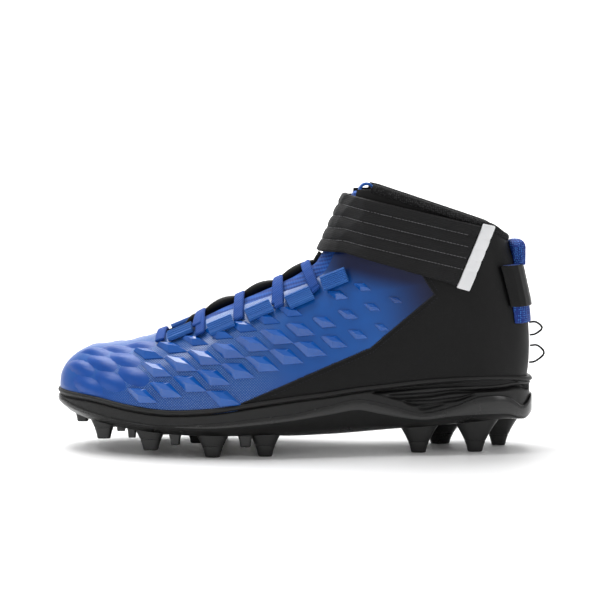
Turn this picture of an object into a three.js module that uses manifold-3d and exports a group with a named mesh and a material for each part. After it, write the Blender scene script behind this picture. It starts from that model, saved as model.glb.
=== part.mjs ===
// Mid-cut american football cleat for the left foot.
// Millimetres, +Z up. The toe points along -Y, the outer side of the foot is +X, the ground is Z = 0.
import * as THREE from 'three';
import { mergeVertices } from 'three/addons/utils/BufferGeometryUtils.js';
import Module from 'manifold-3d';

const wasm = await Module();
wasm.setup();

// Driving dimensions
const soleLength = 298;
const ballWidth = 104;
const rimHeight = 48.5;
const collarHeight = 162;
const ankleWidth = 71;
const toeCapLength = 62;
const toeBoxRound = 24;
const heelCapLength = 50;
const fitGap = 0.3;

const upperWall = 2;
const upperInset = 2.2;
const shellStep = 0.6;
const featherRadius = 7;
const lastingMargin = 12;
const collarSlope = 0.335;
const collarBackHeight = 130.5;

const plateLip = 3;
const plateFloor = 2.4;
const plateInset = 0.4;
const beadHeight = 2.4;
const beadProud = 1.1;
const grooveDepth = 1;
const grooveHeight = 1.3;

const insoleThickness = 3.5;
const tongueThickness = 3.5;
const tongueMargin = 7;
const tongueTopPad = 9;
const tonguePadHeight = 14;
const throatFront = -86;
const throatHalfWidth = 21;
const throatRound = 34;
const throatDepth = 26;

const strapWidth = 36;
const strapThickness = 2.4;
const strapRib = 0.8;
const strapRibCount = 5;
const strapFrontTop = 160;
const strapSlope = 0.235;
const strapStitchGap = 1.2;
const strapEnd = 113.5;
const strapEndLean = 0.42;
const endTabLength = 8;
const endTabOverhang = 1.5;

const loopLength = 14.5;
const loopWidth = 9.5;
const loopHeight = 4;
const loopWall = 1.1;
const loopRise = 0.42;
const laceWidth = 5.4;
const laceThickness = 1.2;
const laceLift = 1.3;
const laceTurn = 2.4;

const studTipHeight = 7;
const studTipLength = 9.2;
const studTipWidth = 6.6;
const studFlare = 1.8;
const studFlareHeight = 18;
const studLean = 0.12;

const pullFoot = 80;
const pullThickness = 1.8;
const pullDepth = 11;
const pullWidth = 26;
const pullTop = 131;
const pullWrap = 10.5;
const pullLean = 0.05;
const sleeveFoot = 90.5;
const sleeveTop = 116;
const sleeveThickness = 1.2;
const sleeveGap = 0.4;
const cordDiameter = 1.4;
const cordReach = 9;
const tabRadius = 5.2;
const tabWidth = 16;
const tabThickness = 1.6;

// Plan of the sole. at is the share of the length from the toe, and the others are shares of the ball width.
const OUTLINE = [
  { at: 0.0, half: 0.4, centre: -0.075 },
  { at: 0.1, half: 0.425, centre: -0.055 },
  { at: 0.2, half: 0.465, centre: -0.015 },
  { at: 0.3, half: 0.494, centre: 0.015 },
  { at: 0.36, half: 0.5, centre: 0.03 },
  { at: 0.46, half: 0.462, centre: 0.045 },
  { at: 0.56, half: 0.4, centre: 0.052 },
  { at: 0.66, half: 0.358, centre: 0.045 },
  { at: 0.76, half: 0.348, centre: 0.022 },
  { at: 0.86, half: 0.35, centre: 0.0 },
  { at: 1.0, half: 0.35, centre: -0.01 },
];

// Heights of the lines along the side of the sole, as shares of the rim height at the heel.
const SOLE_LINES = [
  { at: 0.0, rim: 0.78, wave: 0.7, edge: 0.63, keel: 0.5, bed: 0.72 },
  { at: 0.08, rim: 0.745, wave: 0.55, edge: 0.51, keel: 0.37, bed: 0.6 },
  { at: 0.16, rim: 0.66, wave: 0.46, edge: 0.44, keel: 0.29, bed: 0.52 },
  { at: 0.24, rim: 0.61, wave: 0.42, edge: 0.395, keel: 0.24, bed: 0.475 },
  { at: 0.33, rim: 0.64, wave: 0.46, edge: 0.39, keel: 0.22, bed: 0.475 },
  { at: 0.42, rim: 0.72, wave: 0.52, edge: 0.43, keel: 0.22, bed: 0.55 },
  { at: 0.5, rim: 0.785, wave: 0.575, edge: 0.48, keel: 0.205, bed: 0.64 },
  { at: 0.57, rim: 0.83, wave: 0.665, edge: 0.54, keel: 0.215, bed: 0.71 },
  { at: 0.63, rim: 0.88, wave: 0.735, edge: 0.59, keel: 0.235, bed: 0.75 },
  { at: 0.68, rim: 0.91, wave: 0.68, edge: 0.53, keel: 0.265, bed: 0.77 },
  { at: 0.76, rim: 0.96, wave: 0.55, edge: 0.455, keel: 0.31, bed: 0.78 },
  { at: 0.82, rim: 0.985, wave: 0.61, edge: 0.49, keel: 0.34, bed: 0.79 },
  { at: 0.88, rim: 1.0, wave: 0.74, edge: 0.51, keel: 0.37, bed: 0.8 },
  { at: 0.94, rim: 0.99, wave: 0.73, edge: 0.5, keel: 0.4, bed: 0.81 },
  { at: 0.975, rim: 0.96, wave: 0.6, edge: 0.44, keel: 0.4, bed: 0.82 },
  { at: 1.0, rim: 0.93, wave: 0.74, edge: 0.5, keel: 0.41, bed: 0.82 },
];

// Top line of the last as shares of the collar height. Past the ankle's front it climbs out of reach,
// which opens the arch of the sections into the walls of the ankle.
const RIDGE = [
  { at: 0.0, ridge: 0.372 },
  { at: 0.09, ridge: 0.395 },
  { at: 0.155, ridge: 0.41 },
  { at: 0.22, ridge: 0.445 },
  { at: 0.27, ridge: 0.483 },
  { at: 0.32, ridge: 0.532 },
  { at: 0.37, ridge: 0.573 },
  { at: 0.42, ridge: 0.612 },
  { at: 0.47, ridge: 0.652 },
  { at: 0.51, ridge: 0.69 },
  { at: 0.545, ridge: 0.734 },
  { at: 0.568, ridge: 0.785 },
  { at: 0.589, ridge: 0.885 },
  { at: 0.612, ridge: 1.0 },
  { at: 0.65, ridge: 1.4 },
  { at: 0.72, ridge: 2.2 },
  { at: 0.85, ridge: 4.0 },
  { at: 1.0, ridge: 6.0 },
];

// Back line of the heel: share of the collar height, and how far forward of the sole's end it lies.
const HEEL_BACK = [
  { up: 0.2, forward: 0.034 },
  { up: 0.25, forward: 0.019 },
  { up: 0.3, forward: 0.012 },
  { up: 0.38, forward: 0.009 },
  { up: 0.46, forward: 0.01 },
  { up: 0.54, forward: 0.015 },
  { up: 0.64, forward: 0.028 },
  { up: 0.73, forward: 0.042 },
  { up: 0.8, forward: 0.056 },
  { up: 0.9, forward: 0.072 },
  { up: 1.1, forward: 0.09 },
];

// Grooves between the ribs of the heel: start and end along the sole, and the height at each.
const GROOVES = [
  { from: 0.67, to: 1.0, low: 0.835, high: 0.875 },
  { from: 0.705, to: 1.0, low: 0.755, high: 0.8 },
  { from: 0.738, to: 0.845, low: 0.675, high: 0.712 },
  { from: 0.77, to: 0.82, low: 0.6, high: 0.645 },
];

// Studs: place along the sole, side of it (1 outer, -1 inner), clearance of the foot above the ground as
// a share of the rim height, size against a full stud, and whether the tip is a separate moulding.
const STUDS = [
  { name: 'toe_outer', at: 0.055, side: 0.35, lift: 0.34, size: 0.75, tip: false },
  { name: 'toe_inner', at: 0.06, side: -0.6, lift: 0.33, size: 0.75, tip: false },
  { name: 'front_outer', at: 0.105, side: 0.78, lift: 0.175, size: 0.9, tip: true },
  { name: 'front_inner', at: 0.115, side: -0.78, lift: 0.175, size: 0.9, tip: true },
  { name: 'small_outer_1', at: 0.143, side: 0.84, lift: 0.29, size: 0.55, tip: false },
  { name: 'small_outer_2', at: 0.166, side: 0.84, lift: 0.215, size: 0.5, tip: false },
  { name: 'ball_outer', at: 0.205, side: 0.82, lift: 0.065, size: 1.0, tip: true },
  { name: 'ball_inner', at: 0.215, side: -0.82, lift: 0.06, size: 1.0, tip: true },
  { name: 'small_outer_3', at: 0.256, side: 0.86, lift: 0.145, size: 0.6, tip: false },
  { name: 'small_inner_1', at: 0.27, side: -0.86, lift: 0.14, size: 0.6, tip: false },
  { name: 'mid_outer', at: 0.333, side: 0.83, lift: 0, size: 1.0, tip: true },
  { name: 'mid_inner', at: 0.34, side: -0.83, lift: 0, size: 1.0, tip: true },
  { name: 'small_outer_4', at: 0.4, side: 0.84, lift: 0.13, size: 0.7, tip: false },
  { name: 'centre_front', at: 0.295, side: 0.0, lift: 0.06, size: 0.9, tip: false },
  { name: 'rear_outer', at: 0.44, side: 0.76, lift: 0, size: 0.95, tip: true },
  { name: 'rear_inner', at: 0.425, side: -0.8, lift: 0, size: 0.95, tip: true },
  { name: 'heel_front_outer', at: 0.757, side: 0.62, lift: 0, size: 1.0, tip: true },
  { name: 'heel_front_inner', at: 0.81, side: -0.62, lift: 0, size: 1.3, tip: true },
  { name: 'heel_rear_outer', at: 0.875, side: 0.6, lift: 0, size: 1.0, tip: true },
  { name: 'heel_rear_inner', at: 0.932, side: -0.4, lift: 0, size: 0.95, tip: true },
];

// Webbing lace loops, by the middle of each: place along the sole and height as a share of the ridge there.
// stand lifts a loop off the hollow of the ankle, as a share of its height, and bow brings the crossing
// above it forward, as a share of its length.
const LOOPS = [
  { at: 0.265, up: 0.97, stand: 0.03, bow: 0 },
  { at: 0.35, up: 0.89, stand: 0.05, bow: 0 },
  { at: 0.428, up: 0.89, stand: 0.05, bow: 0 },
  { at: 0.51, up: 0.865, stand: 0.2, bow: 0.4 },
  { at: 0.581, up: 0.79, stand: 0.19, bow: 0 },
];

// Numbers of steps in the surfaces
const toeSteps = 6;
const middleSteps = 13;
const heelSteps = 6;
const cornerSteps = 2;
const wallSteps = 7;

const outerBlue = new THREE.MeshStandardMaterial({ color: 0x2f62b8, roughness: 0.32, metalness: 0.0 });
const laceBlue = new THREE.MeshStandardMaterial({ color: 0x2158b5, roughness: 0.7, metalness: 0.0 });
const knitBlack = new THREE.MeshStandardMaterial({ color: 0x1c1c1e, roughness: 0.85, metalness: 0.0 });
const matteBlack = new THREE.MeshStandardMaterial({ color: 0x222223, roughness: 0.6, metalness: 0.0 });
const glossBlack = new THREE.MeshStandardMaterial({ color: 0x2a2a2b, roughness: 0.22, metalness: 0.0 });
const tabWhite = new THREE.MeshStandardMaterial({ color: 0xececec, roughness: 0.6, metalness: 0.0 });

// Smooth curve through one column of a table
function curve(table, key, column, scale) {
  const slope = (i) => {
    const a = table[Math.max(i - 1, 0)];
    const b = table[Math.min(i + 1, table.length - 1)];
    return (b[column] - a[column]) / (b[key] - a[key]);
  };
  return (place) => {
    let i = 0;
    while (i < table.length - 2 && place > table[i + 1][key]) i += 1;
    const a = table[i];
    const b = table[i + 1];
    const span = b[key] - a[key];
    const t = THREE.MathUtils.clamp((place - a[key]) / span, 0, 1);
    const rise = 3 * t * t - 2 * t * t * t;
    const leave = t * (1 - t) * (1 - t);
    const arrive = t * t * (t - 1);
    const value = a[column] + (b[column] - a[column]) * rise + span * (slope(i) * leave + slope(i + 1) * arrive);
    return value * scale;
  };
}

const toeEnd = -soleLength / 2;
const heelEnd = soleLength / 2;
const shareOf = (y) => (y - toeEnd) / soleLength;
const placeOf = (share) => toeEnd + share * soleLength;
const ramp = (a, b, v) => THREE.MathUtils.smoothstep(v, a, b);

const along = (table, column, scale) => {
  const through = curve(table, 'at', column, scale);
  return (y) => through(shareOf(y));
};
const outlineHalf = along(OUTLINE, 'half', ballWidth);
const outlineCentre = along(OUTLINE, 'centre', ballWidth);
const rimAt = along(SOLE_LINES, 'rim', rimHeight);
const waveAt = along(SOLE_LINES, 'wave', rimHeight);
const edgeAt = along(SOLE_LINES, 'edge', rimHeight);
const keelAt = along(SOLE_LINES, 'keel', rimHeight);
const bedAt = along(SOLE_LINES, 'bed', rimHeight);
const ridgeTable = along(RIDGE, 'ridge', collarHeight);
const heelForward = curve(HEEL_BACK, 'up', 'forward', soleLength);

const capPower = 2.25;
const closedBelow = 1e-4;
const rounded = (share, power) => {
  const height = Math.max(0, 1 - Math.min(1, Math.abs(share)) ** power) ** (1 / power);
  return height < closedBelow ? 0 : height;
};
const cap = (share) => rounded(share, capPower);

// A closed surface through rings of points. Rings at the ends are closed flat, unless they are a line.
function skin(rings, flatEnds) {
  const size = rings[0].length;
  const points = rings.flat();
  const faces = [];
  for (let r = 0; r < rings.length - 1; r += 1) {
    for (let i = 0; i < size; i += 1) {
      const a = r * size + i;
      const b = r * size + ((i + 1) % size);
      faces.push([a, b, b + size], [a, b + size, a + size]);
    }
  }
  if (flatEnds) {
    for (const r of [0, rings.length - 1]) {
      const middle = new THREE.Vector3();
      for (const point of rings[r]) middle.addScaledVector(point, 1 / size);
      points.push(middle);
      for (let i = 0; i < size; i += 1) {
        const a = r * size + i;
        const b = r * size + ((i + 1) % size);
        faces.push(r === 0 ? [b, a, points.length - 1] : [a, b, points.length - 1]);
      }
    }
  }
  const geometry = new THREE.BufferGeometry().setFromPoints(points);
  geometry.setIndex(faces.flat());
  return solidOf(geometry);
}

// A three.js geometry as a solid, turned the right way out
function solidOf(geometry) {
  geometry.deleteAttribute('normal');
  geometry.deleteAttribute('uv');
  const welded = mergeVertices(geometry, 1e-4);
  const index = welded.getIndex().array;
  const position = welded.getAttribute('position');
  const a = new THREE.Vector3();
  const b = new THREE.Vector3();
  const c = new THREE.Vector3();
  const kept = [];
  let volume = 0;
  for (let i = 0; i < index.length; i += 3) {
    const [p, q, r] = [index[i], index[i + 1], index[i + 2]];
    if (p === q || q === r || r === p) continue;
    kept.push([p, q, r]);
    a.fromBufferAttribute(position, p);
    b.fromBufferAttribute(position, q);
    c.fromBufferAttribute(position, r);
    volume += a.dot(b.cross(c));
  }
  const turned = volume < 0 ? kept.map(([p, q, r]) => [p, r, q]) : kept;
  const mesh = new wasm.Mesh({
    numProp: 3,
    vertProperties: Float32Array.from(position.array),
    triVerts: Uint32Array.from(turned.flat()),
  });
  return new wasm.Manifold(mesh);
}

// Half width of the sole's outline, drawn in by an inset
function planHalf(y, inset) {
  const toe = placeOf(0) + toeCapLength;
  const heel = placeOf(1) - heelCapLength;
  const front = y < toe ? cap((toe - y) / (toeCapLength - inset)) : 1;
  const back = y > heel ? cap((y - heel) / (heelCapLength - inset)) : 1;
  return (outlineHalf(y) - inset) * front * back;
}

// Places along the sole where a section is taken, closer together at the round ends
function stations(inset) {
  const toe = placeOf(0) + toeCapLength;
  const heel = placeOf(1) - heelCapLength;
  const list = [];
  for (let i = 0; i < toeSteps; i += 1) {
    list.push(toe - (toeCapLength - inset) * Math.cos((Math.PI / 2) * (i / toeSteps)));
  }
  for (let i = 0; i < middleSteps; i += 1) list.push(toe + (heel - toe) * (i / middleSteps));
  for (let i = 0; i <= heelSteps; i += 1) {
    list.push(heel + (heelCapLength - inset) * Math.sin((Math.PI / 2) * (i / heelSteps)));
  }
  return list;
}

// A slab of the sole's outline between two heights. bulge drops the middle of its underside.
function slab(inset, lowAt, highAt, bulge = () => 0) {
  const across = [1, 0.97, 0.82, 0.55, 0];
  const rings = stations(inset).map((y) => {
    const half = planHalf(y, inset);
    const centre = outlineCentre(y);
    const ring = [];
    for (const side of [1, -1]) {
      const shares = side > 0 ? across : across.slice(0, -1).reverse();
      for (const share of shares) {
        const drop = bulge(y) * (1 - share ** capPower);
        ring.push(new THREE.Vector3(centre + side * half * share, y, lowAt(y) - drop));
      }
    }
    ring.push(new THREE.Vector3(centre - half, y, highAt(y)));
    ring.push(new THREE.Vector3(centre, y, highAt(y)));
    ring.push(new THREE.Vector3(centre + half, y, highAt(y)));
    return ring;
  });
  return skin(rings, false);
}

// The last, on which the upper and everything that lies on it are drawn
const columnTop = collarHeight * 1.08;
const ankleStart = placeOf(0.42);
const ankleFull = placeOf(0.63);
const heelCentre = heelEnd - heelCapLength;
const vampPower = 2.3;
const thinnest = 1;
const toeEdgeRise = 0.06 * rimHeight;

function ridgeAt(y, grow) {
  const into = (y - toeEnd - upperInset + grow) / toeBoxRound;
  const tip = rimAt(toeEnd) + toeEdgeRise;
  const closing = into < 1 ? Math.sqrt(Math.max(0, 1 - (1 - into) ** 2)) : 1;
  const slope = Math.atan(ridgeTable(y + 0.5) - ridgeTable(y - 0.5));
  const top = ridgeTable(y + grow * Math.sin(slope));
  return Math.max(tip + (top - tip) * closing + grow * Math.cos(slope), bedAt(y) - grow + thinnest);
}

const heelBackAt = (z, grow) => heelEnd - heelForward(z / collarHeight) + grow;

function lastHalf(y, z, grow) {
  const low = bedAt(y) - grow;
  const high = ridgeAt(y, grow);
  const up = THREE.MathUtils.clamp((z - low) / (high - low), 0, 1);
  const arch = rounded(up, vampPower);
  const ankle = ramp(ankleStart, ankleFull, y) * ramp(0.3 * collarHeight, 0.68 * collarHeight, z);
  const base = THREE.MathUtils.lerp(outlineHalf(y) - upperInset, ankleWidth / 2, ankle) + grow;
  return base * arch;
}

function lastCentre(y, z) {
  const lean = ramp(0.3 * collarHeight, 0.7 * collarHeight, z);
  return outlineCentre(y) * (1 - 0.75 * lean);
}

// A point of the last at one place, height and side of the foot
function lastPoint(y, z, side, grow) {
  return new THREE.Vector3(lastCentre(y, z) + side * lastHalf(y, z, grow), y, z);
}

// One ring of the last. bend is 0 at the heel's centre and 1 at its back line.
function lastRing(y, bend, grow) {
  const toe = toeEnd + toeCapLength;
  const front = y < toe ? cap((toe - y) / (toeCapLength - upperInset + grow)) : 1;
  const closing = front * cap(bend);
  const low = bedAt(y) - grow;
  const high = ridgeAt(y, grow);
  const top = Math.min(high, columnTop + grow);
  const radius = Math.min(featherRadius, 0.5 * (top - low));
  const steps = [];
  const seat = (z) => {
    const place = bend > 0 ? heelCentre + (heelBackAt(z, grow) - heelCentre) * bend : y;
    return { z, place, half: lastHalf(y, z, grow) * closing, centre: lastCentre(y, z) };
  };
  const corner = (z) => {
    const spot = seat(z);
    const turn = 1 - Math.min(1, (z - low) / radius);
    spot.half = Math.max(0, spot.half - Math.min(radius, spot.half) * (1 - Math.sqrt(1 - turn * turn)));
    return spot;
  };
  steps.push({ ...corner(low), half: 0 });
  for (let i = 0; i < cornerSteps; i += 1) {
    steps.push(corner(low + radius * (1 - Math.cos((Math.PI / 2) * (i / cornerSteps)))));
  }
  const rise = (high - low - radius) / (high - low);
  const startTurn = Math.asin(Math.min(1, (1 - rise) ** (vampPower / 2)));
  const endTurn = Math.asin(Math.min(1, ((top - low) / (high - low)) ** (vampPower / 2)));
  for (let i = 0; i <= wallSteps; i += 1) {
    const turn = startTurn + (endTurn - startTurn) * (i / wallSteps);
    steps.push(seat(low + (high - low) * Math.sin(turn) ** (2 / vampPower)));
  }
  steps.push({ ...seat(top), half: 0 });
  const ring = steps.map((s) => new THREE.Vector3(s.centre + s.half, s.place, s.z));
  for (const s of steps.slice(1, -1).reverse()) ring.push(new THREE.Vector3(s.centre - s.half, s.place, s.z));
  return ring;
}

function last(grow) {
  const toe = toeEnd + toeCapLength;
  const rings = [];
  for (let i = 0; i < toeSteps; i += 1) {
    const y = toe - (toeCapLength - upperInset + grow) * Math.cos((Math.PI / 2) * (i / toeSteps));
    rings.push(lastRing(y, 0, grow));
  }
  for (let i = 0; i < middleSteps; i += 1) {
    rings.push(lastRing(toe + (heelCentre - toe) * (i / middleSteps), 0, grow));
  }
  for (let i = 0; i <= heelSteps; i += 1) {
    rings.push(lastRing(heelCentre, Math.sin((Math.PI / 2) * (i / heelSteps)), grow));
  }
  return skin(rings, false);
}

// A section of two by two with its corners cut, by the flats that are left along and across
const octagon = (flatA, flatB) => [
  [1, flatB], [flatA, 1], [-flatA, 1], [-1, flatB], [-1, -flatB], [-flatA, -1], [flatA, -1], [1, -flatB],
];

// A prism across the shoe from an outline of [y, z] points
function sidePrism(outline, from = -ballWidth, to = ballWidth) {
  const shape = new THREE.Shape(outline.map(([y, z]) => new THREE.Vector2(y, z)));
  const geometry = new THREE.ExtrudeGeometry(shape, { depth: to - from, bevelEnabled: false });
  geometry.applyMatrix4(new THREE.Matrix4().makeBasis(
    new THREE.Vector3(0, 1, 0), new THREE.Vector3(0, 0, 1), new THREE.Vector3(1, 0, 0),
  ));
  geometry.translate(from, 0, 0);
  return solidOf(geometry);
}

const group = new THREE.Group();

// Cuts leave slivers, which are merged within this distance
const sliver = 0.1;

function addPiece(name, solid, material) {
  const mesh = solid.simplify(sliver).getMesh();
  const geometry = new THREE.BufferGeometry();
  const points = new THREE.BufferAttribute(Float32Array.from(mesh.vertProperties), mesh.numProp);
  geometry.setAttribute('position', points);
  geometry.setIndex(new THREE.BufferAttribute(Uint32Array.from(mesh.triVerts), 1));
  geometry.computeVertexNormals();
  const piece = new THREE.Mesh(geometry, material);
  piece.name = name;
  group.add(piece);
  return solid;
}

// Throat: the strip that is left open along the instep for the laces
const throatBack = placeOf(0.67);
const throatHighest = 0.72 * collarHeight;

function throatStrip(extra, front) {
  const rings = [];
  const steps = 14;
  const narrowest = 0.02;
  for (let i = 0; i <= steps; i += 1) {
    const y = THREE.MathUtils.lerp(front, throatBack, (i / steps) ** 1.3);
    const opening = Math.sqrt(Math.max(narrowest, 1 - (1 - Math.min(1, (y - front) / throatRound)) ** 2));
    const half = (throatHalfWidth + extra) * opening;
    const low = Math.min(ridgeAt(y, 0), throatHighest) - throatDepth;
    const centre = lastCentre(y, low);
    rings.push([
      new THREE.Vector3(centre + half, y, low),
      new THREE.Vector3(centre + half, y, 2 * collarHeight),
      new THREE.Vector3(centre - half, y, 2 * collarHeight),
      new THREE.Vector3(centre - half, y, low),
    ]);
  }
  return skin(rings, true);
}

// Upper: one hollow wall, with the textured shell a step proud of the quarter behind it
const collarBreak = placeOf(0.665);
const collarLine = (y) => collarHeight - Math.max(0, y - collarBreak) * collarSlope;
const collarRear = placeOf(0.918);
const collarCut = sidePrism([
  [toeEnd * 2, collarLine(collarBreak)],
  [collarBreak, collarLine(collarBreak)],
  [collarRear, collarLine(collarRear)],
  [placeOf(0.945), collarBackHeight],
  [heelEnd * 2, collarBackHeight],
  [heelEnd * 2, collarHeight * 2],
  [toeEnd * 2, collarHeight * 2],
]);
const shellEdge = sidePrism([
  [toeEnd * 2, 0],
  [placeOf(0.36), 0],
  [placeOf(0.39), 0.7 * rimHeight],
  [placeOf(0.655), 0.41 * collarHeight],
  [placeOf(0.785), 0.61 * collarHeight],
  [placeOf(0.72), 0.8 * collarHeight],
  [toeEnd * 2, 0.8 * collarHeight],
]);
const footHollow = slab(
  lastingMargin + upperInset,
  (y) => bedAt(y) - featherRadius,
  (y) => bedAt(y) + featherRadius,
);
const lastOuter = last(0);
const lastInner = last(-upperWall);
const aboveRim = slab(-featherRadius, (y) => rimAt(y) + fitGap, () => 2 * collarHeight);
const upper = lastOuter
  .add(last(shellStep).intersect(shellEdge).intersect(aboveRim))
  .subtract(lastInner)
  .subtract(collarCut)
  .subtract(throatStrip(0, throatFront))
  .subtract(footHollow);
addPiece('upper', upper, outerBlue);

// Insole on the lasting margin
const footSpace = last(-upperWall - fitGap);
const insoleTop = (y) => bedAt(y) + upperWall + fitGap + insoleThickness;
addPiece('insole', footSpace.intersect(slab(0, () => 0, insoleTop)), knitBlack);

// Tongue under the throat
const tongueTopHeight = 0.99 * collarHeight;
const tongueTop = sidePrism([
  [toeEnd * 2, 0],
  [placeOf(0.665), 0],
  [placeOf(0.665), tongueTopHeight],
  [toeEnd * 2, tongueTopHeight],
]);
const tonguePad = sidePrism([
  [toeEnd, tongueTopHeight - tonguePadHeight],
  [heelEnd, tongueTopHeight - tonguePadHeight],
  [heelEnd, 2 * collarHeight],
  [toeEnd, 2 * collarHeight],
]);
const tongue = footSpace
  .subtract(last(-upperWall - fitGap - tongueThickness).subtract(tonguePad))
  .subtract(last(-upperWall - fitGap - tongueTopPad))
  .intersect(throatStrip(tongueMargin, throatFront - tongueMargin))
  .intersect(tongueTop);
addPiece('tongue', tongue, outerBlue);

// Midsole: the band with the bead under the upper, and a core that sits inside the plate's lip
const upperSeat = last(fitGap);
const plateSpace = slab(plateInset - fitGap, () => 0, (y) => waveAt(y) + fitGap);
const band = slab(beadProud, edgeAt, rimAt).subtract(plateSpace);
const bead = slab(0, (y) => rimAt(y) - beadHeight, rimAt);
const plateBulge = (y) => edgeAt(y) - keelAt(y);
const floorAt = (y) => edgeAt(y) + plateFloor;
const core = slab(plateLip + fitGap, (y) => floorAt(y) + fitGap, (y) => rimAt(y) - beadHeight, plateBulge);
let midsole = band.add(bead).add(core).subtract(upperSeat);
for (const groove of GROOVES) {
  const heightAt = (y) => {
    const share = (shareOf(y) - groove.from) / (groove.to - groove.from);
    return THREE.MathUtils.lerp(groove.low, groove.high, THREE.MathUtils.clamp(share, 0, 1)) * rimHeight;
  };
  const cutter = slab(-2, (y) => heightAt(y) - grooveHeight / 2, (y) => heightAt(y) + grooveHeight / 2)
    .subtract(slab(beadProud + grooveDepth, () => 0, () => 2 * rimHeight))
    .intersect(sidePrism([
      [placeOf(groove.from), 0],
      [groove.to < 1 ? placeOf(groove.to) : heelEnd * 2, 0],
      [groove.to < 1 ? placeOf(groove.to) : heelEnd * 2, collarHeight],
      [placeOf(groove.from), collarHeight],
    ]));
  midsole = midsole.subtract(cutter);
}
addPiece('midsole', midsole, matteBlack);

// Outsole plate with its lip, keel and the moulded studs
const platePocket = slab(plateLip, floorAt, () => 2 * rimHeight, plateBulge);
let plate = slab(plateInset, edgeAt, waveAt, plateBulge);

function studSolid(stud, from, to) {
  const y = placeOf(stud.at);
  const foot = stud.lift * rimHeight;
  const roof = edgeAt(y) + 0.3 * (waveAt(y) - edgeAt(y));
  const x = outlineCentre(y) + stud.side * planHalf(y, 4 + studTipWidth / 2);
  const rings = [];
  const levels = [0, studTipHeight - fitGap, studTipHeight, 0.7 * (roof - foot), roof - foot];
  for (const level of levels) {
    const height = Math.min(level, roof - foot);
    if (height < from - 1e-6 || height > to + 1e-6) continue;
    const spread = 1 + studFlare * (height / studFlareHeight) ** 1.5;
    const lean = -stud.side * studLean * height;
    const long = (studTipLength / 2) * stud.size * spread;
    const wide = (studTipWidth / 2) * stud.size * spread;
    const ring = octagon(0.55, 0.45).map(([a, b]) => (
      new THREE.Vector3(x + lean + b * wide, y + a * long, foot + height)
    ));
    rings.push(ring);
  }
  return skin(rings, true);
}

for (const stud of STUDS) {
  plate = plate.add(studSolid(stud, stud.tip ? studTipHeight : 0, Infinity));
}
addPiece('outsole_plate', plate.subtract(platePocket), glossBlack);
for (const stud of STUDS.filter((s) => s.tip)) {
  addPiece(`stud_tip_${stud.name}`, studSolid(stud, 0, studTipHeight - fitGap), glossBlack);
}

// Ankle strap: a ribbed band round the front of the ankle, with a stiff end tab on the outer side
const strapBend = placeOf(0.6);
const strapTop = (y) => strapFrontTop - Math.max(0, y - strapBend) * strapSlope;
const strapBand = (top, bottom, start, end, from, to) => sidePrism([
  [start, strapTop(start) - bottom],
  [strapBend, strapTop(strapBend) - bottom],
  [end - bottom * strapEndLean, strapTop(end) - bottom],
  [end - top * strapEndLean, strapTop(end) - top],
  [strapBend, strapTop(strapBend) - top],
  [start, strapTop(start) - top],
], from, to);
const strapSeat = last(shellStep + fitGap);
const strapBase = last(shellStep + fitGap + strapThickness);
const strapFace = last(shellStep + fitGap + strapThickness + strapRib);
let strap = strapBase.intersect(strapBand(0, strapWidth, toeEnd, strapEnd));
const ribWidth = strapWidth / strapRibCount;
for (let i = 0; i < strapRibCount; i += 1) {
  const top = i * ribWidth + strapStitchGap / 2;
  const bottom = (i + 1) * ribWidth - strapStitchGap / 2;
  strap = strap.add(strapFace.intersect(strapBand(top, bottom, toeEnd, strapEnd)));
}
strap = strap.subtract(strapSeat);
addPiece('ankle_strap', strap, knitBlack);
const endTabStart = strapEnd + fitGap;
const endTabFoot = strapWidth + endTabOverhang;
const tabBand = strapBand(-endTabOverhang, endTabFoot, 0, endTabStart + endTabLength, 0, ballWidth);
const tabStart = strapBand(-strapWidth, 2 * strapWidth, 0, endTabStart, 0, ballWidth);
addPiece('strap_end_tab', strapFace.subtract(strapSeat).intersect(tabBand).subtract(tabStart), tabWhite);

// Frame on the last at one place: out of the surface, along the throat, and up the side
function frameAt(y, up, side, grow) {
  const reach = 0.5;
  const heightAt = (place) => up * ridgeAt(y, 0) + loopRise * (place - y);
  const point = lastPoint(y, heightAt(y), side, grow);
  const forward = lastPoint(y + reach, heightAt(y + reach), side, grow);
  const tangent = forward.sub(lastPoint(y - reach, heightAt(y - reach), side, grow)).normalize();
  const higher = lastPoint(y, heightAt(y) + reach, side, grow);
  const rise = higher.sub(lastPoint(y, heightAt(y) - reach, side, grow)).normalize();
  const out = new THREE.Vector3().crossVectors(tangent, rise).multiplyScalar(side > 0 ? 1 : -1).normalize();
  return { point, tangent, out, rise: new THREE.Vector3().crossVectors(out, tangent), side, grow };
}

// Webbing loops: flat tubes beside the throat, open at both ends for the lace
const loopSeat = shellStep + fitGap + loopHeight / 2;

function webbingLoop(frame) {
  const chamfer = loopHeight * 0.3;
  const outline = (w, h, c) => [
    [w, h - c], [w - c, h], [c - w, h], [-w, h - c], [-w, c - h], [c - w, -h], [w - c, -h], [w, c - h],
  ].map(([a, b]) => new THREE.Vector2(a, b));
  const shape = new THREE.Shape(outline(loopWidth / 2, loopHeight / 2, chamfer));
  const slot = outline(loopWidth / 2 - loopWall, loopHeight / 2 - loopWall, chamfer * 0.4);
  shape.holes.push(new THREE.Path(slot));
  const geometry = new THREE.ExtrudeGeometry(shape, { depth: loopLength, bevelEnabled: false });
  geometry.translate(0, 0, -loopLength / 2);
  geometry.applyMatrix4(new THREE.Matrix4().makeBasis(frame.rise, frame.out, frame.tangent));
  geometry.translate(frame.point.x, frame.point.y, frame.point.z);
  return solidOf(geometry);
}

const loopFrames = { outer: [], inner: [] };
for (const [i, row] of LOOPS.entries()) {
  for (const [name, side] of [['outer', 1], ['inner', -1]]) {
    const frame = frameAt(placeOf(row.at), row.up, side, loopSeat + row.stand * loopHeight);
    loopFrames[name].push(frame);
    addPiece(`lace_loop_${name}_${i + 1}`, webbingLoop(frame), laceBlue);
  }
}

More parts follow.
